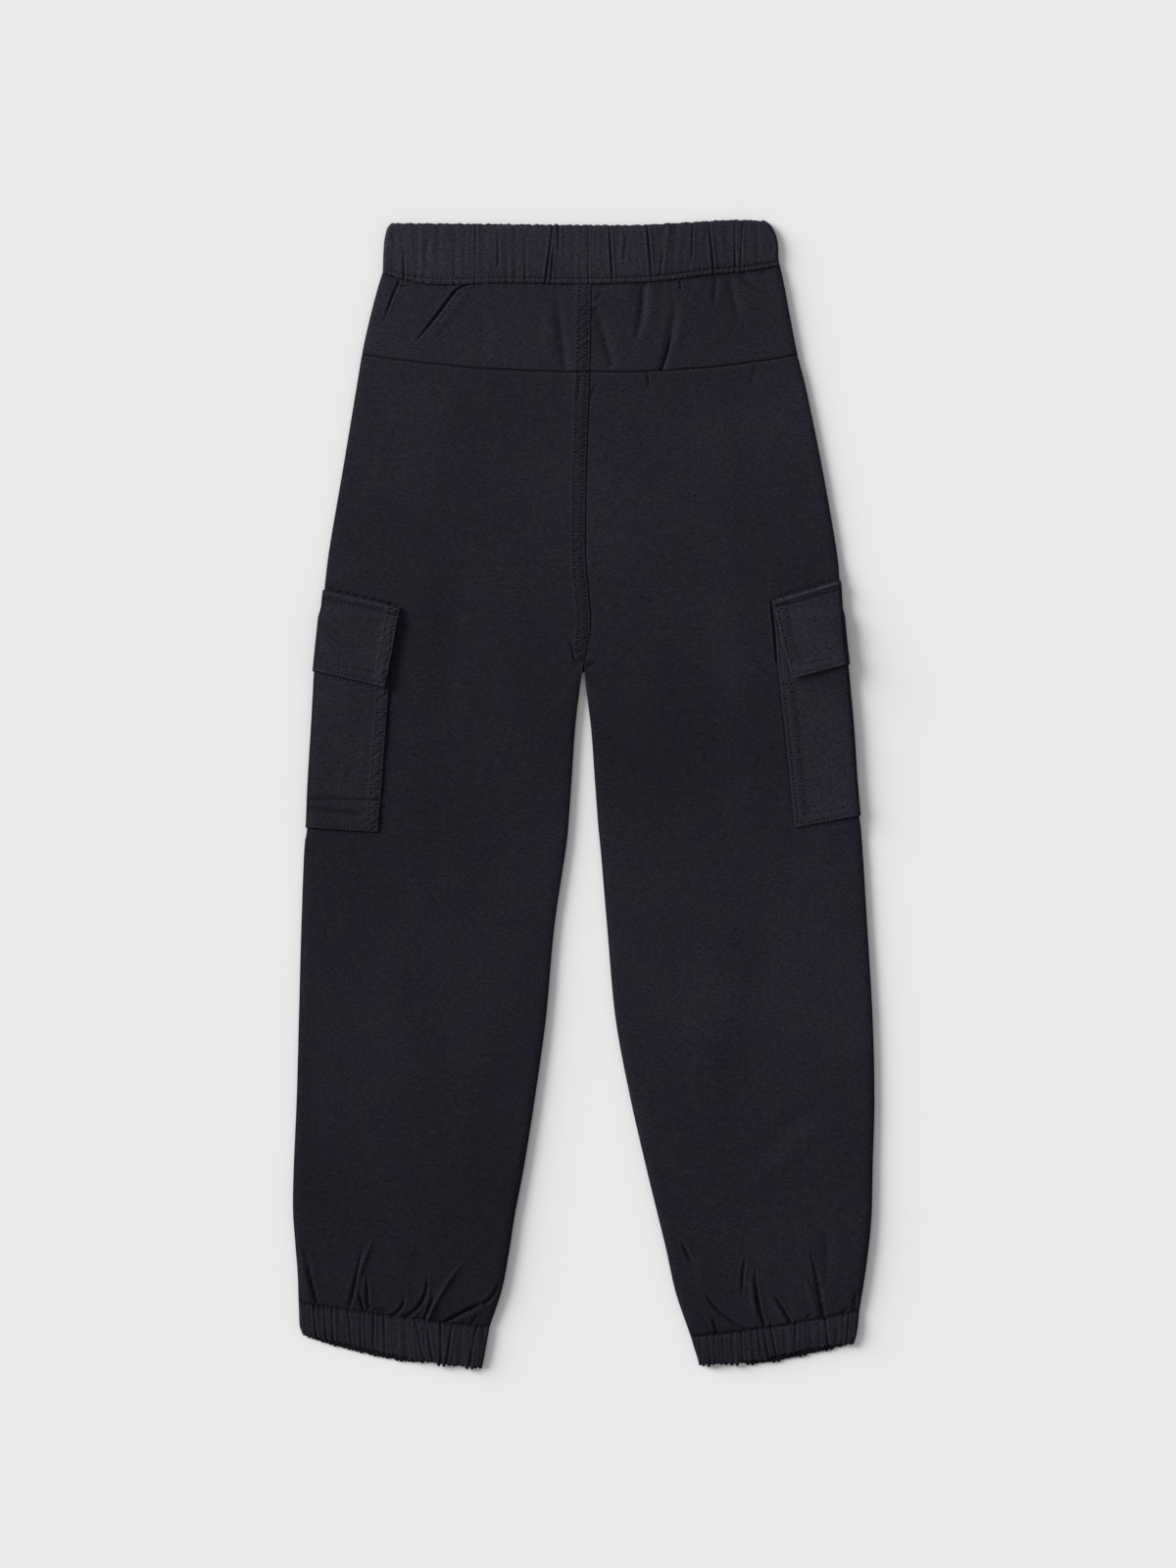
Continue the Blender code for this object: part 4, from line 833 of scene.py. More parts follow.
# ---------------------------------------------------------------- Patch pockets
# A patch of the same twill over each outseam, half on the back of the leg and half under its front. Its
# edges are turned in and sewn down with two rows of stitches, and the flap hides its mouth.
WrapRow = namedtuple("WrapRow", "name outer_y back_x back_y")
POCKETS = {
    "left": [WrapRow(*row) for row in (
        ("top", 128.6, -147.4, 128.6),
        ("under the flap", 110, -148, 109),
        ("flap foot", 94.5, -148.7, 92),
        ("below the flap", 76, -149.5, 74),
        ("upper", 48, -151.6, 46),
        ("middle", 28, -153.3, 25),
        ("lower", 9, -154.6, 6),
        ("foot", -25, -157.8, -28.5),
    )],
    "right": [WrapRow(*row) for row in (
        ("top", 128.6, 145.6, 128.6),
        ("under the flap", 113, 146.7, 112),
        ("flap foot", 98, 147.9, 97),
        ("below the flap", 78, 150.4, 76),
        ("upper", 50, 153.9, 47),
        ("middle", 31, 155.9, 26),
        ("lower", 12, 157.9, 4),
        ("above the foot", -7, 160, -15.5),
        ("foot", -15.6, 160.9, -24.8),
    )],
}
HEM_STEPS = [0.0, 0.3, 0.7, 1.2, 1.8, 2.3, 2.8, 3.5, 4.5, 5.7, 6.9, 7.8, 8.4, 9.0, 9.6, 10.2, 11.0, 12.2]
WRAP_FILL = 24  # even columns between the stitched edge and the outseam
TURNED_EDGE = 9.8  # width of the edge that is turned in
TURNED_HEIGHT = 0.4
POCKET_ROWS = (2.3, 8.4)  # two rows of stitches, from the edge
HEM_MIDDLE = 5.3  # between the two rows
RIM = 1.0  # width over which a wall rounds off at its rim
POCKET_EDGE_HIGHLIGHT = 0.15  # how much lighter a painted highlight makes the cloth where it turns at the edge of a pocket, and of a flap
FLAP_EDGE_HIGHLIGHT = 0.5
EDGE_DARK = {"left": 0.75, "right": 0.3}  # how much darker painted shade makes the very edge of a pocket or flap
POCKET_RIB_ANGLE = 1.25  # the patches are cut a little off the grain of the legs
POCKET_DYES = ((0.0138, 0.0140, 0.0214), (0.0148, 0.0151, 0.0202))
POCKET_TONES = {"left": 0.92, "right": 1.04}  # the left ones are a little darker than the right ones
FLAP_TONES = {"left": 0.92, "right": 1.17}
POCKET_CUT = (0.130, 0.156)
FAR_BELOW = -50.0
FAR_ABOVE = 50.0

pocket_twill = twill_material("pocket twill", *POCKET_DYES, POCKET_RIB_ANGLE)


def heights(tree, x, y, from_above):
    """The height of a cloth at each (x, y), met from above or from below, or far below where it isn't."""
    start, way = (FAR_ABOVE, -1.0) if from_above else (FAR_BELOW, 1.0)
    hits = [tree.ray_cast((a, b, start), (0.0, 0.0, way))[0] for a, b in zip(x, y)]
    return np.array([hit.z if hit else FAR_BELOW for hit in hits])


def outseam_at(y, back, front):
    """x of the leg's outseam at y, and the heights of its top and of its floor there."""
    top, floor = back.grid[:, 0], front.grid[:, 0]
    return (
        np.interp(-y, -top[:, 1], top[:, 0]),
        np.interp(-y, -top[:, 1], top[:, 2]),
        np.interp(-y, -floor[:, 1], floor[:, 2]) - TWILL,
    )


def turned_edge(from_edge, rows):
    """The relief of an edge that is turned in and stitched down."""
    turned = TURNED_HEIGHT * (1 - smoothstep((from_edge - TURNED_EDGE + 0.8) / 1.6))
    return turned - stitch_dip(from_edge, rows) - 0.5 * TWILL * (1 - round_rise(from_edge, RIM))


def spaced_lines(length, top_steps, foot_steps, spacing):
    """Distances down a piece: the given steps at both ends and even ones between."""
    first, last = top_steps[-1], length - foot_steps[-1]
    middle = np.linspace(first, last, int((last - first) / spacing) + 2)[1:-1]
    return np.concatenate([top_steps, middle, length - np.array(foot_steps)[::-1]])


def wrapped_cloth(name, leg, rows, beneath, relief, lift, material):
    """A pocket or a flap: over the back of the leg, round the outseam and under the front.

    `beneath` is the pocket that a flap lies on, or None. `relief` gives what is added to the wall's upper
    side and the painted shade of its folds, and `lift` what is added to the whole wall, from the
    distances to the back edge, the foot and the top. Painted shade darkens the very edges and the turn
    round the outseam, and a painted highlight lightens the cloth just inside the edges."""
    back, front = backs[leg.name], fronts[leg.name]
    tops = np.array([row.outer_y for row in rows])
    drops = spaced_lines(tops[0] - tops[-1], HEM_STEPS, HEM_STEPS, 1.1)
    under = np.concatenate([EDGE_STEPS[::2], np.linspace(EDGE_STEPS[-2], FRONT_REACH, 8)[1:]])
    angles = np.radians([72.0, 54.0, 36.0, 18.0, 0.0])
    outer_lines, inner_lines, shades = [], [], []
    for drop in drops:
        y = tops[0] - drop
        back_x = smooth_line(-tops, [row.back_x for row in rows], -y)
        back_y = smooth_line(-tops, [row.back_y for row in rows], -y)
        edge_x, top, floor = outseam_at(y, back, front)
        reach = abs(back_x - edge_x)
        fill = np.linspace(reach - HEM_STEPS[-1], EDGE_STEPS[-1], WRAP_FILL + 2)[1:-1]
        over = np.concatenate([reach - np.array(HEM_STEPS), fill, EDGE_STEPS[::-1]])
        over_x = edge_x + leg.inward * over
        over_y = y + (back_y - y) * over / reach
        under_x, under_y = edge_x + leg.inward * under, np.full(under.shape, y)
        skin = np.append(heights(back.tree, over_x[:-1], over_y[:-1], True), top) + SEAM_GAP
        raised = 0.0
        if beneath:
            level = inside(over_y, -np.inf, POCKETS[leg.name][0].outer_y)
            raised = PLY * level[-1]
            on_pocket = heights(beneath.tree, over_x, over_y, True) + SEAM_GAP
            skin = np.maximum(skin + PLY * level, on_pocket)
            base = edge_curl(under)
        else:
            base = np.append(floor, heights(front.tree, under_x[1:], under_y[1:], False)) - PLY
            base = np.maximum(base, edge_curl(under))
        skin = skin + lift(reach - over, drops[-1] - drop, drop)
        height, folds = relief(reach - over, drops[-1] - drop, drop)
        wall = TWILL + height
        rim = min(round_rise(np.array([drop, drops[-1] - drop]), RIM)) * 0.5 + 0.5
        # painted shade along the edges, in the folds and round the outseam, and painted highlights just
        # inside the edges and on a flap's rolled top
        from_edge = np.minimum(reach - over, min(drop, drops[-1] - drop))
        roll_highlight = FOLD_DARK * np.minimum(folds, 0.0)
        folds_dark = FOLD_DARK * np.maximum(folds, 0.0)
        turn_dark = FOLD_DARK * EDGE_SHADE * soft_line(over, 1.3)
        dark = darkest(EDGE_DARK[leg.name] * soft_line(from_edge, 0.8), folds_dark, turn_dark)
        edge_highlight = 1 + (FLAP_EDGE_HIGHLIGHT if beneath else POCKET_EDGE_HIGHLIGHT) * soft_line(from_edge - 1.4, 0.7) - roll_highlight
        turn_shade = np.pad((1 - dark) * edge_highlight, (0, 2 * len(angles)), mode="edge")
        shades.append(np.append(turn_shade, 1 - FOLD_DARK * EDGE_SHADE * soft_line(under, 1.3)))
        for ply, line in ((0.0, inner_lines), (1.0, outer_lines)):
            out = SEAM_GAP + raised + ply * TWILL * rim
            turn_x = np.concatenate([np.cos(angles), np.cos(angles[::-1])]) * out
            turn_top = skin[-1] - SEAM_GAP - raised + out * np.sin(angles)
            turn_foot = base[0] + PLY + raised - out * np.sin(angles[::-1])
            x = np.concatenate([over_x, edge_x - leg.inward * turn_x, under_x])
            z = np.concatenate([skin + ply * wall, turn_top, turn_foot, base + TWILL - ply * TWILL])
            line.append(np.column_stack([x, np.concatenate([over_y, np.full(len(turn_x), y), under_y]), z]))
    tones = FLAP_TONES if beneath else POCKET_TONES
    shade = tones[leg.name] * np.array(shades)
    return cloth_piece(name, np.array(outer_lines), np.array(inner_lines), material, shade)


def edge_puckers(from_edge, run):
    """Slanting ripples that the two rows of stitches pull into an edge."""
    return pucker(run + 0.8 * from_edge, 0.95) * soft_line(from_edge - HEM_MIDDLE, 3.6)


def pocket_relief(from_back, from_foot, from_top):
    """The height that turned and stitched edges and soft cloth add, and the painted shade of the folds,
    here none.
    """
    edge = np.minimum(from_back, from_foot)
    ripples = 0.55 * edge_puckers(from_back, from_foot) + 0.15 * edge_puckers(from_foot, from_back)
    soft = rumple(from_back + 40.0, from_foot + from_back, 0.12, 9.0)
    return turned_edge(edge, POCKET_ROWS) + ripples + soft, 0.0


LOWER_FOLD, UPPER_FOLD = 12.2, 24.6  # heights of the left pocket's two soft folds above its foot


def left_pocket_relief(from_back, from_foot, from_top):
    """The left pocket also has two soft folds along its foot, with painted shade in them."""
    lower = soft_line(from_foot - LOWER_FOLD - 0.04 * from_back, 1.9) * smoothstep((from_back - 9.0) / 9.0)
    upper = soft_line(from_foot - UPPER_FOLD + 0.05 * from_back, 1.3)
    height, _ = pocket_relief(from_back, from_foot, from_top)
    return height - 1.1 * lower - 0.9 * upper, np.maximum(0.7 * lower, 0.6 * upper)


def lies_flat(from_back, from_foot, from_top):
    """No lift: a pocket lies on the leg all over."""
    return 0.0


pockets = {}
for leg, relief in zip(LEGS, (left_pocket_relief, pocket_relief)):
    pocket = wrapped_cloth(
        f"{leg.name}_pocket", leg, POCKETS[leg.name], None, relief, lies_flat, pocket_twill
    )
    stands_for(
        pocket, f"pocket_{leg.name}", "leg_twill", flat=POCKET_CUT, held="laid",
        rests_on=[f"{leg.name}_back_panel"],
    )
    pockets[leg.name] = pocket

# ---------------------------------------------------------------- Pocket flaps
# A doubled flap over each pocket, sewn on along its top edge, which folds down over the seam. The back
# edge of the left one and the foot of the right one stand a little off the pocket.
FLAPS = {
    "left": [WrapRow(*row) for row in (
        ("top", 157, -140.6, 143.5),
        ("fold", 153, -141.1, 139.5),
        ("above the pocket", 133, -143.2, 129.5),
        ("middle", 116, -146.3, 110),
        ("above the foot", 103, -150, 92),
        ("foot", 94.5, -151.9, 81.8),
    )],
    "right": [WrapRow(*row) for row in (
        ("top", 164, 143.3, 148.5),
        ("fold", 160, 144.4, 144.5),
        ("above the pocket", 133, 147.6, 129.5),
        ("middle", 118, 151.8, 112),
        ("above the foot", 107, 156.6, 95.5),
        ("foot", 99.8, 158.6, 88.9),
    )],
}
FLAP_ROWS = (2.3, 8.4)
FLAP_TOP_ROW = 6.9  # the row of stitches under the folded top edge
ROLL_HEIGHT = 1.15  # how far the folded top edge stands up
BACK_CURL = {"left": 1.5, "right": 0.5}  # how far the back edge and the foot stand off the pocket
FOOT_CURL = 1.7
ROLL_HIGHLIGHT = 0.35  # how much lighter a painted highlight makes the rolled top edge, on the scale of the folds
FLAP_CUT = (0.130, 0.062)
FLAP_DYES = ((0.0141, 0.0143, 0.0219), (0.0150, 0.0153, 0.0205))

flap_twill = twill_material("flap twill", *FLAP_DYES, POCKET_RIB_ANGLE)


def flap_relief(from_back, from_foot, from_top):
    """Stitched edges, and a rolled top edge with a row of stitches below it. The row gets painted shade and
    the roll a painted highlight.
    """
    edge = np.minimum(from_back, from_foot)
    roll = ROLL_HEIGHT * soft_line(from_top - 2.2, 1.7) - 2.6 * stitch_dip(from_top, (FLAP_TOP_ROW,))
    ripples = 0.36 * edge_puckers(from_back, from_foot) + 0.14 * edge_puckers(from_foot, from_back)
    soft = rumple(from_back + 90.0, 1.6 * from_foot, 0.12, 8.0)
    row = broken(0.75, 0.6, from_back, 0.6) * soft_line(from_top - FLAP_TOP_ROW, 1.2)
    dark = row - ROLL_HIGHLIGHT * soft_line(from_top - 2.6, 1.3)
    return turned_edge(edge, FLAP_ROWS) + roll + ripples + soft, dark


def left_lift(from_back, from_foot, from_top):
    """The back edge curls up, most at its middle and foot."""
    return BACK_CURL["left"] * (1 - smoothstep(from_back / 13.0)) * smoothstep(from_top / 24.0)


def right_lift(from_back, from_foot, from_top):
    """The foot curls up, and the back edge a little."""
    foot = FOOT_CURL * (1 - smoothstep(from_foot / 12.0)) * (1 - 0.5 * smoothstep(from_back / 40.0))
    return foot + BACK_CURL["right"] * (1 - smoothstep(from_back / 9.0)) * smoothstep(from_top / 20.0)


flaps = {}
for leg, lift in zip(LEGS, (left_lift, right_lift)):
    flap = wrapped_cloth(
        f"{leg.name}_flap", leg, FLAPS[leg.name], pockets[leg.name], flap_relief, lift, flap_twill
    )
    stands_for(
        flap, f"flap_{leg.name}", "leg_twill", flat=FLAP_CUT, held="laid", rests_on=[f"{leg.name}_pocket"]
    )
    flaps[leg.name] = flap

# ---------------------------------------------------------------- Waistband
# A casing of twill, folded over wide elastic and sewn to the yokes and fronts by a row of stitches near
# its lower edge. The relaxed elastic gathers it into uneven creases. Front and back halves lie flat.
WAIST_CASING = 1.9  # both layers of the casing with the elastic between them
WAIST_TOP = [LinePoint(*point) for point in (
    (-147.4, 437.4), (-87.4, 437), (2.6, 436.1), (40.1, 436.1), (77.6, 438), (115.1, 439.9),
    (138.5, 439.3),
)]
WaistRow = namedtuple("WaistRow", "name share left_x right_x crown")
WAIST_ROWS = [WaistRow(*row) for row in (
    ("top edge", 0, -147.4, 136.5, 0),
    ("turn", 0.05, -149.4, 139.6, 0.4),
    ("upper", 0.25, -152.4, 145, 0.8),
    ("middle", 0.55, -153.8, 147.9, 0.9),
    ("lower", 0.82, -154.2, 148.2, 0.7),
    ("stitch row", 0.91, -154.3, 148.4, 0.3),
    ("lip", 1, -154.6, 149.2, 0.4),
)]
# A gather is a crease down the casing. It exists between two shares of the casing's height, and a
# negative depth is a ridge.
Gather = namedtuple("Gather", "top_x foot_x depth half_width start end", defaults=[0.0, 1.0])
WAIST_GATHERS = [Gather(*row) for row in (
    (-145.5, -146, 0.34, 1.6, 0.1), (-137.5, -138, 1.03, 0.84, 0.45), (-128, -128, 0.29, 1.8),
    (-119.5, -122, 0.34, 1.8, 0.2), (-111.5, -111.5, 0.29, 1.8), (-99, -99, 0.34, 2),
    (-83, -83.5, 0.48, 0.7), (-77, -77, 0.29, 1.8), (-66, -66, 0.81, 0.86, 0.1, 0.8),
    (-59, -59, 0.29, 1.6), (-53, -53, 0.29, 1.6), (-45, -45, 0.51, 1.06, 0.1), (-24, -30, 1.46, 0.78),
    (-23, -26, 0.86, 0.79, 0.4), (-20, -19.5, 0.77, 0.92, 0, 0.55), (-8.5, -8.5, 0.24, 2),
    (3, 3, 0.48, 0.7), (19, 21.5, 1.15, 0.84), (28.5, 29, -0.33, 1.6, 0.1),
    (33, 28, 0.43, 1.19, 0.1, 0.7), (48, 51.5, 1.22, 0.84), (64.5, 59.5, -0.4, 1.4, 0, 0.9),
    (62.5, 57.5, 0.69, 0.99, 0.45), (70, 66.5, 0.38, 2), (83, 81.5, 0.65, 0.73, 0, 0.75),
    (95, 99, 1.22, 0.8), (104, 106.5, -0.32, 1.8), (115, 115, 0.86, 0.7), (121, 119, 0.77, 0.7),
    (131.5, 133, 0.29, 2),
)]
HEAD_SHARES = [0.0, 0.006, 0.016, 0.03, 0.05]
LIP_SHARES = [*np.arange(0.0, 0.15, 0.011)]
WAIST_SHARES = spaced_lines(1.0, HEAD_SHARES, LIP_SHARES, 0.022)
HIDDEN_SHARES = spaced_lines(1.0, HEAD_SHARES, HEAD_SHARES, 0.05)
WAIST_STITCH_SHARE = 0.915
WAVY_LIP_X = 95.0  # the lip is most ragged here, and over this width
WAVY_LIP_WIDTH = 40.0
HEAD_ROUND = 2.2  # widths over which a casing rounds down at its head and at its ends
END_ROUND = 2.6
RIM_SHARE = 0.35  # how thick a casing still is at its rim
CASING_COLUMN = 0.5  # distance between two columns of points
HIDDEN_COLUMN = 1.4  # the same on a half that lies underneath
WAIST_DEPTH = 42.0
WAIST_DYES = ((0.0178, 0.0179, 0.0276), (0.0190, 0.0192, 0.0262))
WAIST_TONES = (1.16, 0.88)  # the casing's left end is lighter than its right one
WAIST_TONE_ENDS = (-120.0, 120.0)  # x of the two ends of that change
WAIST_CUT = (0.41, 0.044)  # one half, one layer, before it is gathered

waist_twill = twill_material("waistband twill", *WAIST_DYES)


def gather_relief(gathers, x, share):
    """The height that the gathers add at x and at a share of the casing's height, and the painted shade in
    them. They sink the cloth along their line and push it up a little beside it."""
    total, dark = np.zeros(x.shape), np.zeros(x.shape)
    for gather in gathers:
        away = np.abs(x - gather.top_x - (gather.foot_x - gather.top_x) * share) / gather.half_width
        runs = smoothstep((share - gather.start) / 0.16 + (gather.start == 0.0))
        runs = runs * smoothstep((gather.end - share) / 0.16 + (gather.end == 1.0))
        runs = runs * (0.72 + 0.28 * np.sin(5.5 * share + 0.9 * gather.top_x))
        total += gather.depth * runs * (0.42 * np.exp(-((away - 2.2) ** 2)) - np.exp(-(away**2)))
        depth = 0.7 * min(max(gather.depth / 1.4, 0.0), 1.0) ** 1.5
        dark = np.maximum(dark, depth * runs * np.exp(-((away / 0.85) ** 2)))
    return total, dark


# Stretches where the lip stands up and catches the light, and its edge gets less painted shade.
LitLip = namedtuple("LitLip", "middle_x half_width height")
LIT_LIPS = [LitLip(*row) for row in ((-119, 6, 0.4), (-16, 6, 0.4), (12, 7, 0.4), (106, 34, 0.3))]


def lip_relief(x, share):
    """The puckered lip below the row of stitches at the foot of the casing, and the painted shade along the
    row, on the lip's edge and at the casing's head.
    """
    from_row = (share - WAIST_STITCH_SHARE) * WAIST_DEPTH
    heavy = 0.45 + 0.55 * smoothstep((x - 5.0) / 45.0)
    row = -heavy * (0.8 + 0.5 * pucker(x, 0.45)) * soft_line(from_row, 0.8)
    lit = sum(lip.height * soft_line(x - lip.middle_x, lip.half_width) for lip in LIT_LIPS)
    lip = (0.3 + lit + (0.22 + 0.3 * lit) * pucker(x + 5.0, 0.5)) * smoothstep(from_row / 1.2)
    dark = heavy * broken(0.62, 0.5, x + 1.0, 0.5) * soft_line(from_row, 0.9)
    # painted shade on the lip's lower edge, less where it stands up
    shaded = np.clip(0.8 - 0.4 * pucker(x, 1.3) - lit, 0.35, 1) * soft_line((1 - share) * WAIST_DEPTH, 1.5)
    return row + lip, darkest(dark, shaded, EDGE_SHADE * soft_line(share * WAIST_DEPTH, 0.9))


WaistGrid = namedtuple("WaistGrid", "share x y from_top from_end")


def waist_grid(shares, spacing, mirrored, lip_overlap):
    """The points of one half of the waistband, whose head the gathers pull down a little, and whose
    ragged lip may overlap the piece that it is sewn to."""
    share = shares[:, None]
    row_shares = [row.share for row in WAIST_ROWS]
    left = smooth_line(row_shares, [row.left_x for row in WAIST_ROWS], share)
    right = smooth_line(row_shares, [row.right_x for row in WAIST_ROWS], share)
    across = np.linspace(0.0, 1.0, int((right[-1, 0] - left[-1, 0]) / spacing))[None, :]
    x = left + (right - left) * across
    head_x, foot_x = x[:1], x[-1:]
    scallop, _ = gather_relief(WAIST_GATHERS, mirrored * head_x, np.zeros_like(head_x))
    head_y = line_y(WAIST_TOP, head_x) + 0.7 * np.maximum(scallop, -1.4)
    head_y = head_y + 0.55 * pucker(head_x, 1.2) + 0.3 * pucker(head_x + 2.0, 0.5)
    wavy = lip_overlap * (0.5 + 0.6 * soft_line(foot_x - WAVY_LIP_X, WAVY_LIP_WIDTH))
    foot_y = line_y(WAIST_SEAM, foot_x) - wavy * (0.6 + 0.5 * pucker(foot_x + 3.0, 0.9))
    y = head_y + (foot_y - head_y) * share
    return WaistGrid(share, x, y, share * WAIST_DEPTH, np.minimum(x - left, right - x))


def casing_half(cloth, node, flat, resting):
    """A half of a gathered casing takes the place of its solid."""
    stands_for(cloth, node, "casing_twill", flat=flat, held="gathered", rests_on=resting)


under = waist_grid(HIDDEN_SHARES, HIDDEN_COLUMN, -1.0, 0.0)
rim = round_rise(under.from_top, HEAD_ROUND) * round_rise(under.from_end, END_ROUND)
gathered, _ = gather_relief(WAIST_GATHERS, -under.x, under.share)
low = 0.35 * np.maximum(-gathered, 0.0) * rim + 0.3 * (1 - rim)
waist_front = cloth_piece(
    "waistband_front_half", np.dstack([under.x, under.y, np.full(under.x.shape, WAIST_CASING)]),
    np.dstack([under.x, under.y, low]), waist_twill,
)
casing_half(waist_front, "waistband_front", WAIST_CUT, [])

top = waist_grid(WAIST_SHARES, CASING_COLUMN, 1.0, 1.0)
rim = round_rise(top.from_top, HEAD_ROUND) * round_rise(top.from_end, END_ROUND)
crown = smooth_line([row.share for row in WAIST_ROWS], [row.crown for row in WAIST_ROWS], top.share)
# painted shade in the gathers, at the ends, along the row of stitches, on the lip's edge and at the head
gathered, fold_dark = gather_relief(WAIST_GATHERS, top.x, top.share)
fold_dark = np.maximum(fold_dark, EDGE_SHADE * soft_line(top.from_end, 0.9))
lip, row_dark = lip_relief(top.x, top.share)
streaks = 0.11 * pucker(top.x + 1.2 * np.sin(3.0 * top.share + 0.07 * top.x), 0.95)
streaks = streaks * (0.6 + 0.4 * np.sin(top.x / 7.0 + 4.0 * top.share))
uneven = gathered + lip + streaks + rumple(top.x, 0.4 * top.y, 0.2, 6.5)
floor = WAIST_CASING + SEAM_GAP
high = floor + WAIST_CASING * (RIM_SHARE + (1 - RIM_SHARE) * rim) + (crown + uneven) * rim
tone = np.interp(top.x, WAIST_TONE_ENDS, WAIST_TONES)
waist_back = cloth_piece(
    "waistband_back_half", np.dstack([top.x, top.y, np.maximum(high, floor + 0.5)]), None, waist_twill,
    (1 - FOLD_DARK * np.maximum(fold_dark, row_dark)) * tone, rest=floor,
)
casing_half(waist_back, "waistband_back", WAIST_CUT, ["waistband_front_half"])

# ---------------------------------------------------------------- Cuffs
# Casings over narrower elastic, sewn to the feet of the legs and gathered like the waistband. The hidden
# front half of each shows below the back half as a dark crescent: its upper side is darkened with painted
# shade.
CUFF_CASING = 1.8
# `sway` is how far the line lies above its chord a quarter of the way in, and below it three quarters in.
CuffRow = namedtuple("CuffRow", "name outer_x outer_y inner_x inner_y bow sway crown")
CUFFS = {
    "left": [CuffRow(*row) for row in (
        ("seam", -218.7, -387.7, -72.6, -406.5, -1.1, 0, 0),
        ("upper", -218.4, -394.5, -73.8, -413.2, -1.3, 0.1, 0.7),
        ("lower", -217.8, -406, -76.4, -428, -1.6, 0.5, 0.7),
        ("hem", -215, -413.2, -78.5, -438.4, -2.3, 1.3, 0),
    )],
    "right": [CuffRow(*row) for row in (
        ("seam", 210.1, -393.7, 81.1, -414, -2.2, 0, 0),
        ("upper", 209.5, -400.6, 82.7, -419.2, -2, 0.5, 0.7),
        ("lower", 208.2, -411, 85.6, -428.5, -1.6, 1.5, 0.7),
        ("hem", 206.1, -419.5, 87.5, -435.6, -1.8, 1.9, 0),
    )],
}
CUFF_GATHERS = {
    "left": [Gather(*row) for row in (
        (-207, -204.5, 1.03, 0.86), (-199, -197, 0.81, 0.73), (-193, -192, 0.73, 0.79),
        (-187.5, -187, 0.38, 1.2), (-181, -178, 0.73, 0.79), (-171, -171, 0.51, 0.79),
        (-161, -161.5, 0.81, 0.86), (-153.5, -152, 0.65, 0.86, 0, 0.9), (-145, -144.5, 0.34, 1.6),
        (-137, -135.5, 0.34, 2), (-130.5, -122, 0.81, 0.86), (-122, -115.5, 0.73, 0.86),
        (-110, -109.5, 1.37, 0.92), (-100, -106, 0.9, 0.86), (-93.5, -95, 0.29, 1.6),
        (-81.5, -88.5, 0.9, 0.92), (-76, -80, 0.38, 1.4),
    )],
    "right": [Gather(*row) for row in (
        (94, 97, 0.43, 0.86), (99.5, 100.5, 0.36, 1.06), (105.5, 107, 0.43, 0.79),
        (113, 114, 0.34, 1.3), (120, 121.5, 0.56, 0.79), (128, 130, 0.36, 1.06), (132, 135, 0.56, 0.73),
        (136.5, 141, 0.94, 0.79), (142, 147, 1.12, 0.86), (152.5, 154, 0.29, 1.8),
        (161.5, 161, 0.94, 0.92), (172, 173, 0.34, 1.8), (184, 186.5, 1.03, 0.86),
        (192.5, 193, 0.38, 1.4), (197.5, 196.5, 0.56, 0.79), (202.5, 200.5, 0.65, 0.73),
    )],
}
# The stretch of the hem, as shares of it from the outseam, where the hidden half shows below the upper one.
HemGap = namedtuple("HemGap", "start end drop")
HEM_GAPS = {"left": HemGap(0.02, 0.68, 4.7), "right": HemGap(0.04, 0.72, 4.6)}
CUFF_RIM = [0.0, 0.012, 0.03, 0.055, 0.085]
CUFF_SHARES = spaced_lines(1.0, CUFF_RIM, CUFF_RIM, 0.026)
HIDDEN_CUFF_SHARES = spaced_lines(1.0, CUFF_RIM, CUFF_RIM, 0.07)
CUFF_ROW = 2.0  # the row of stitches, from the seam with the leg
CUFF_DYES = ((0.0108, 0.0109, 0.0174), (0.0117, 0.0119, 0.0163))
CRESCENT_SHADE = 0.46  # painted shade on the upper side of a hidden half, whose part that shows lies in the shade of the upper one
CUFF_CUT = {"left": (0.190, 0.030), "right": (0.170, 0.0255)}  # one half, one layer, before it is gathered

cuff_twill = twill_material("cuff twill", *CUFF_DYES)


def cuff_grid(rows, shares, spacing, gap):
    """x, y, share, share across and distance from the ends over a cuff. A gap lowers its hem there."""
    numbers = np.linspace(0.0, 1.0, len(rows))
    share = shares[:, None]
    outer_x, outer_y, inner_x, inner_y, bow, sway = (
        smooth_line(numbers, [getattr(row, column) for row in rows], share)
        for column in ("outer_x", "outer_y", "inner_x", "inner_y", "bow", "sway")
    )
    across = np.linspace(0.0, 1.0, int(abs(rows[0].inner_x - rows[0].outer_x) / spacing))[None, :]
    x = outer_x + (inner_x - outer_x) * across
    y = outer_y + (inner_y - outer_y) * across + bow * 4 * across * (1 - across)
    y = y + sway * np.sin(2 * np.pi * across) + SEAM_GAP * (1 - share) ** 8
    if gap:
        shown = np.clip((across - gap.start) / (gap.end - gap.start), 0, 1)
        y = y - gap.drop * share * np.sin(np.pi * shown) ** 0.5
    return x, y, share, across, np.minimum(np.abs(x - outer_x), np.abs(inner_x - x))


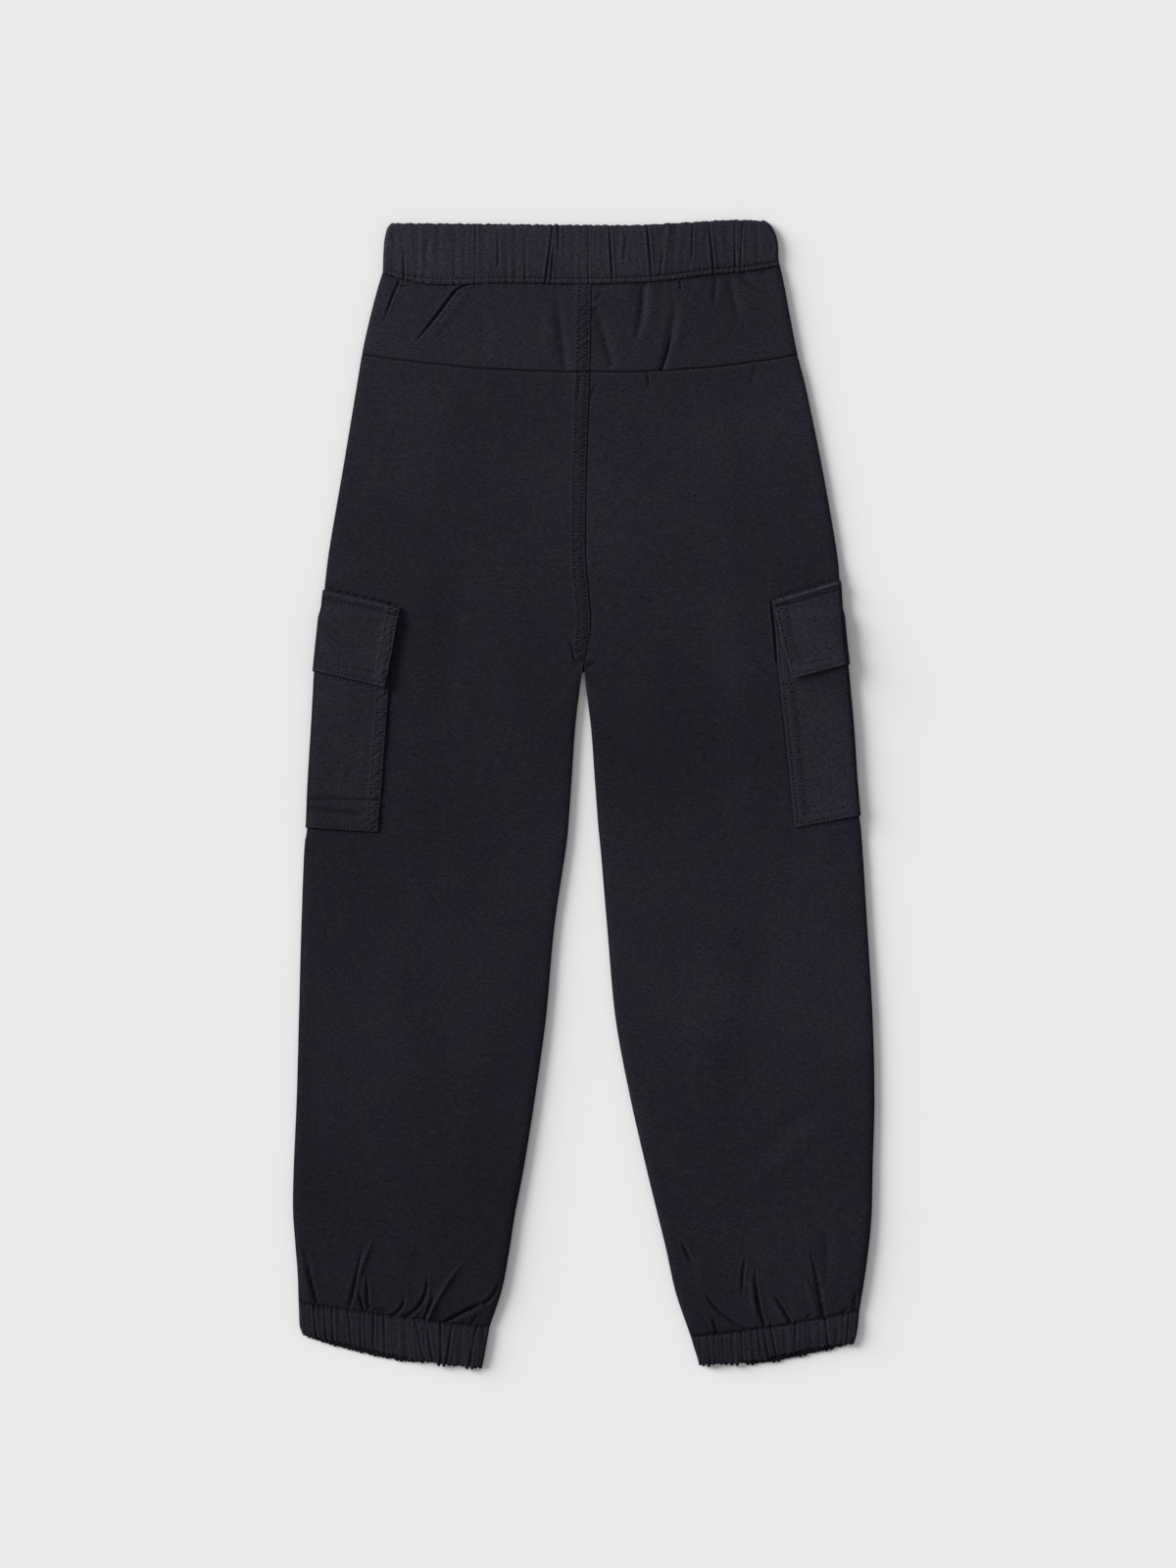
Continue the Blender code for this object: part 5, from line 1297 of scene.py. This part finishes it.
cuffs = {}
for leg in LEGS:
    rows, gathers, gap = CUFFS[leg.name], CUFF_GATHERS[leg.name], HEM_GAPS[leg.name]
    depth = rows[0].outer_y - rows[-1].outer_y
    x, y, share, across, from_end = cuff_grid(rows, HIDDEN_CUFF_SHARES, CASING_COLUMN, gap)
    y = y - 2.0 * (np.abs(pucker(x, 1.3)) - 0.4) * share**4
    gathered, _ = gather_relief(gathers, rows[0].outer_x + rows[0].inner_x - x, share)
    rim = round_rise((1 - share) * depth, 2.4) * round_rise(from_end, END_ROUND)
    low = 0.3 * np.maximum(-gathered, 0.0) * rim + 0.3 * (1 - rim)
    high = CUFF_CASING - 0.8 * (1 - rim)
    # the hidden half's upper side is darkened with painted shade
    cuff = cloth_piece(
        f"{leg.name}_cuff_front_half", np.dstack([x, y + 0.4 * share, high]),
        np.dstack([x, y + 0.4 * share, low]), cuff_twill, CRESCENT_SHADE,
    )
    casing_half(cuff, f"cuff_{leg.name}_front", CUFF_CUT[leg.name], [])

    x, y, share, across, from_end = cuff_grid(rows, CUFF_SHARES, CASING_COLUMN, None)
    gathered, dark = gather_relief(gathers, x, share)
    ragged = 0.6 + 0.5 * smoothstep((across - 0.45) / 0.15)
    y = y - (0.5 * np.minimum(gathered, 0.0) + ragged * (3.0 * np.abs(pucker(x, 1.4)) - 1.2)) * share**4
    y = y + 0.3 * (1 + pucker(x, 0.9)) * (1 - share) ** 8
    rim = round_rise((1 - share) * depth, 2.0) * round_rise(from_end, END_ROUND)
    crown = smooth_line(np.linspace(0.0, 1.0, len(rows)), [row.crown for row in rows], share)
    from_row = share * depth - CUFF_ROW
    row = (0.7 + 0.35 * pucker(x, 0.55)) * soft_line(from_row, 0.7)
    streaks = 0.14 * pucker(x + 0.8 * np.sin(4.0 * share), 0.8)
    floor = CUFF_CASING + SEAM_GAP
    high = floor + CUFF_CASING * (RIM_SHARE + (1 - RIM_SHARE) * rim)
    high = high + (crown + gathered + streaks + rumple(x, 0.4 * y, 0.16, 5.0) - row) * rim
    high = high - 0.8 * (1 - round_rise(share * depth, 1.6))
    # painted shade in the gathers, along the seam with the leg and the row of stitches, and at the ends and
    # the hem
    dark = darkest(
        dark, broken(0.65, 0.65, x, 0.8) * soft_line(share * depth, 1.3),
        (0.35 + 0.35 * pucker(x, 0.55)) * soft_line(from_row, 0.6),
        EDGE_SHADE * np.maximum(soft_line(from_end, 0.9), soft_line((1 - share) * depth, 0.8)),
    )
    cuff = cloth_piece(
        f"{leg.name}_cuff_back_half", np.dstack([x, y, np.maximum(high, floor + 0.5)]), None, cuff_twill,
        1 - FOLD_DARK * dark, rest=floor,
    )
    casing_half(cuff, f"cuff_{leg.name}_back", CUFF_CUT[leg.name], [f"{leg.name}_cuff_front_half"])
    cuffs[leg.name] = cuff

# ---------------------------------------------------------------- Topstitching
# Rows of spun thread that hold the felled seat seam, the turned edges of pockets and flaps and the two
# casings. Each stitch is a short strand that dips into the cloth at both ends, where the needle went in.
# A near-black disc at each end is painted shade for the dent round the needle hole.
STITCH_LENGTH = 2.25
STITCH_PITCH = 2.9
THREAD_WIDTH = 0.75
THREAD_HEIGHT = 0.5
THREAD_SINK = 0.32  # how far a stitch's ends dip below its middle
TACK_WIDTH = 1.7  # a bar tack's stitches lie side by side, across its line
TACK_PITCH = 0.62
TACK_RUN = (6.8, -1.8)  # from one end of a bar tack to the other
TACK_DROP = 3.8  # from one bar tack to the next
NEEDLE_HOLE = 0.68  # half the length of a near-black disc of painted shade for the dent round a needle hole
# The same where the rows' discs of painted shade have another size.
HOLE_SIZES = {"seat_seam": 0.82, "pocket": 0.74, "flap": 0.84, "bar_tack": 0.3}
HOLE_LIFT = 0.07
# A stitch's cross-sections, from end to end: how far along it, and how thick.
StitchPart = namedtuple("StitchPart", "along thickness")
STITCH_PARTS = [StitchPart(*part) for part in ((0, 0.25), (0.16, 0.8), (0.5, 1), (0.84, 0.8), (1, 0.25))]
THREAD_SIDES = 5
HOLE_SIDES = 7


THREAD_PATCH = 0.0012  # metres across a lighter or a darker stretch of thread
THREAD_PLY = 0.0004
THREAD_BUMP = 0.0001
HOLE_PATCH = 0.004
THREAD_DYES = ((0.0170, 0.0172, 0.0262), (0.0185, 0.0188, 0.0250))
HOLE_SHADE_DYES = ((0.0012, 0.0012, 0.0020), (0.0016, 0.0016, 0.0018))

thread_finish, thread_tree, thread_shader, _ = dyed_material(
    "spun thread", *THREAD_DYES, THREAD_PATCH, 0.7, 0.2
)
woven(thread_tree, thread_shader, {"Rib Spacing": THREAD_PLY}, THREAD_BUMP)
# needle holes: a near-black finish, painted shade for the dents round them
hole_shade_finish = dyed_material("needle hole", *HOLE_SHADE_DYES, HOLE_PATCH, 1.0, 0.0)[0]


def on_cloth(tree, x, y):
    """Points on the upper side of a cloth."""
    return np.column_stack([x, y, heights(tree, x, y, True)])


def stitch_spots(tree, line):
    """Start, middle and end of each stitch of a row along a line of (x, y) points, on a cloth."""
    line = np.asarray(line)[:, :2]
    run = np.concatenate([[0.0], np.cumsum(np.hypot(*np.diff(line, axis=0).T))])
    begin = np.arange(0.5, run[-1] - STITCH_LENGTH, STITCH_PITCH)
    begin = begin + 0.18 * np.sin(2.7 * np.arange(len(begin)))
    spots = []
    for share in (0.0, 0.5, 1.0):
        at = begin + share * STITCH_LENGTH
        spots.append(on_cloth(tree, np.interp(at, run, line[:, 0]), np.interp(at, run, line[:, 1])))
    return np.stack(spots, axis=1)


def tack_spots(tree, start, end):
    """The side-by-side stitches of a bar tack between two points."""
    start, end = np.array(start), np.array(end)
    way = (end - start) / np.linalg.norm(end - start)
    side = np.array([-way[1], way[0]]) * TACK_WIDTH / 2
    at = start + way * np.arange(0.0, np.linalg.norm(end - start), TACK_PITCH)[:, None]
    return np.stack([on_cloth(tree, *(at + share * side).T) for share in (-1.0, 0.0, 1.0)], axis=1)


def sew(name, spots):
    """All the stitches of one kind as one mesh, and as another the near-black discs of painted shade for
    the holes that their ends go into.
    """
    spots, hole = np.concatenate(spots), HOLE_SIZES.get(name, NEEDLE_HOLE)
    start, middle, end = (spots[:, part][:, None, :] for part in range(3))
    t = np.array([part.along for part in STITCH_PARTS])[None, :, None]
    thick = np.array([part.thickness for part in STITCH_PARTS])
    centre = 2 * (t - 0.5) * (t - 1) * start + 4 * t * (1 - t) * middle + 2 * t * (t - 0.5) * end
    centre[:, :, 2] += THREAD_HEIGHT * 0.3 - THREAD_SINK * (2 * t[:, :, 0] - 1) ** 4
    way = (end - start)[:, 0, :2]
    way = way / np.linalg.norm(way, axis=1)[:, None]
    side = np.column_stack([-way[:, 1], way[:, 0], np.zeros(len(way))])
    angle = np.linspace(0.0, 2 * np.pi, THREAD_SIDES, endpoint=False)
    wide = (THREAD_WIDTH / 2 * np.cos(angle) * thick[:, None])[None, :, :, None]
    tall = (THREAD_HEIGHT / 2 * np.sin(angle) * thick[:, None])[None, :, :, None]
    points = centre[:, :, None, :] + (side[:, None, None, :] * wide + np.array([0.0, 0.0, 1.0]) * tall)
    count, rings = len(spots), len(STITCH_PARTS)
    index = np.arange(points.size // 3).reshape(count, rings, THREAD_SIDES)
    ahead = np.roll(index, -1, axis=2)
    corners = [index[:, :-1], ahead[:, :-1], ahead[:, 1:], index[:, 1:]]
    faces = np.stack(corners, axis=-1).reshape(-1, 4).tolist()
    faces += index[:, 0, ::-1].tolist() + index[:, -1].tolist()
    mesh_piece(f"{name}_stitches", points.reshape(-1, 3), faces, thread_finish)

    turn = np.linspace(0.0, 2 * np.pi, HOLE_SIDES, endpoint=False)
    run = spots[:, 2] - spots[:, 0]
    rims = []
    for spot, sign in ((spots[:, 0], -1.0), (spots[:, 2], 1.0)):
        slope = sign * run / np.linalg.norm(run, axis=1)[:, None]
        middle = spot + 0.25 * slope + [0.0, 0.0, HOLE_LIFT]
        rims.append(middle[:, None] + hole * (
            np.cos(turn)[:, None] * slope[:, None] + 0.85 * np.sin(turn)[:, None] * side[:, None]
        ))
    holes = np.concatenate(rims)
    index = np.arange(holes.size // 3).reshape(-1, HOLE_SIDES)
    mesh_piece(f"{name}_needle_holes", holes.reshape(-1, 3), index.tolist(), hole_shade_finish)


left_seam = [yokes["left"], backs["left"]]
seat_y = [np.linspace(391.0, 324.4, 30), np.linspace(323.2, 104.6, 90)]
sew("seat_seam", [
    stitch_spots(cloth.tree, np.column_stack([seat_seam_x(y) - SEAM_GAP / 2 - row, y]))
    for cloth, y in zip(left_seam, seat_y)
    for row in FELL_ROWS
])

ROW_STEPS = [HEM_STEPS.index(row) for row in POCKET_ROWS]
over_columns = len(HEM_STEPS) + WRAP_FILL  # the columns of a pocket or flap on the back of the leg
pocket_spots, flap_spots, tacks = [], [], []
for leg in LEGS:
    pocket, flap = pockets[leg.name], flaps[leg.name]
    shown = pocket.grid[:, 0, 1] < FLAPS[leg.name][-1].back_y - 1.0
    for step in ROW_STEPS:
        pocket_spots.append(stitch_spots(pocket.tree, pocket.grid[shown, step][: -1 - step]))
        pocket_spots.append(stitch_spots(pocket.tree, pocket.grid[-1 - step, step:over_columns]))
        flap_spots.append(stitch_spots(flap.tree, flap.grid[2 : -1 - step, step]))
        flap_spots.append(stitch_spots(flap.tree, flap.grid[-1 - step, step:over_columns]))
    flap_spots.append(stitch_spots(flap.tree, flap.grid[HEM_STEPS.index(FLAP_TOP_ROW), 3:over_columns]))
for tree, x, y, way in (
    (flaps["left"].tree, -150.7, 141.2, 1.0), (flaps["right"].tree, 153.6, 148.0, -1.0),
):
    for drop in (0.0, TACK_DROP):
        end = (x + TACK_RUN[0] * way, y - drop + TACK_RUN[1])
        tacks.append(tack_spots(tree, (x, y - drop), end))
sew("pocket", pocket_spots)
sew("flap", flap_spots)
sew("bar_tack", tacks)

waist_row = np.abs(WAIST_SHARES - WAIST_STITCH_SHARE).argmin()
sew("waistband", [stitch_spots(waist_back.tree, waist_back.grid[waist_row, 4:-4])])
cuff_spots = []
for leg in LEGS:
    rows = CUFFS[leg.name]
    cuff_row = np.abs(CUFF_SHARES - CUFF_ROW / (rows[0].outer_y - rows[-1].outer_y)).argmin()
    cuff_spots.append(stitch_spots(cuffs[leg.name].tree, cuffs[leg.name].grid[cuff_row, 4:-4]))
sew("cuff", cuff_spots)

# ---------------------------------------------------------------- The surface, the light and the camera
# A plain pale surface, a wide soft light from the upper left and a camera that looks straight down.
SURFACE_REACH = 3.0  # metres, as all sizes in this section
SURFACE_TOP = -0.0004
PAPER = (0.83, 0.83, 0.835, 1.0)
SKY_STRENGTH = 0.41
SUN_STRENGTH = 5.05
SUN_WIDTH = 34.0  # degrees
SUN_FROM = Vector((-0.80, 0.38, 0.34))
CAMERA_PLACE = (0.0026, 0.0086, 3.0)
CAMERA_LENS = 90.0  # millimetres, on a sensor of this width
CAMERA_SENSOR = 36.0

surface_mesh = bpy.data.meshes.new("surface")
corners = [(-1, -1), (1, -1), (1, 1), (-1, 1)]
surface_points = [(x * SURFACE_REACH, y * SURFACE_REACH, SURFACE_TOP) for x, y in corners]
surface_mesh.from_pydata(surface_points, [], [(0, 1, 2, 3)])
paper = bpy.data.materials.new("pale paper")
paper.use_nodes = True
paper_shader = paper.node_tree.nodes["Principled BSDF"]
paper_shader.inputs["Base Color"].default_value = PAPER
paper_shader.inputs["Roughness"].default_value = 0.95
surface_mesh.materials.append(paper)
surface = bpy.data.objects.new("surface", surface_mesh)

world = bpy.data.worlds.new("studio")
bpy.context.scene.world = world
world.use_nodes = True
world.node_tree.nodes["Background"].inputs["Color"].default_value = (1.0, 1.0, 1.0, 1.0)
world.node_tree.nodes["Background"].inputs["Strength"].default_value = SKY_STRENGTH

sun_data = bpy.data.lights.new("wide light", "SUN")
sun_data.energy = SUN_STRENGTH
sun_data.angle = np.radians(SUN_WIDTH)
sun = bpy.data.objects.new("wide light", sun_data)
sun.rotation_euler = SUN_FROM.to_track_quat("Z", "Y").to_euler()

camera_data = bpy.data.cameras.new("camera")
camera_data.lens = CAMERA_LENS
camera_data.sensor_width = CAMERA_SENSOR
camera = bpy.data.objects.new("camera", camera_data)
camera.location = CAMERA_PLACE
for thing in (surface, sun, camera):
    bpy.context.scene.collection.objects.link(thing)
bpy.context.scene.camera = camera
bpy.context.scene.view_settings.view_transform = "Standard"
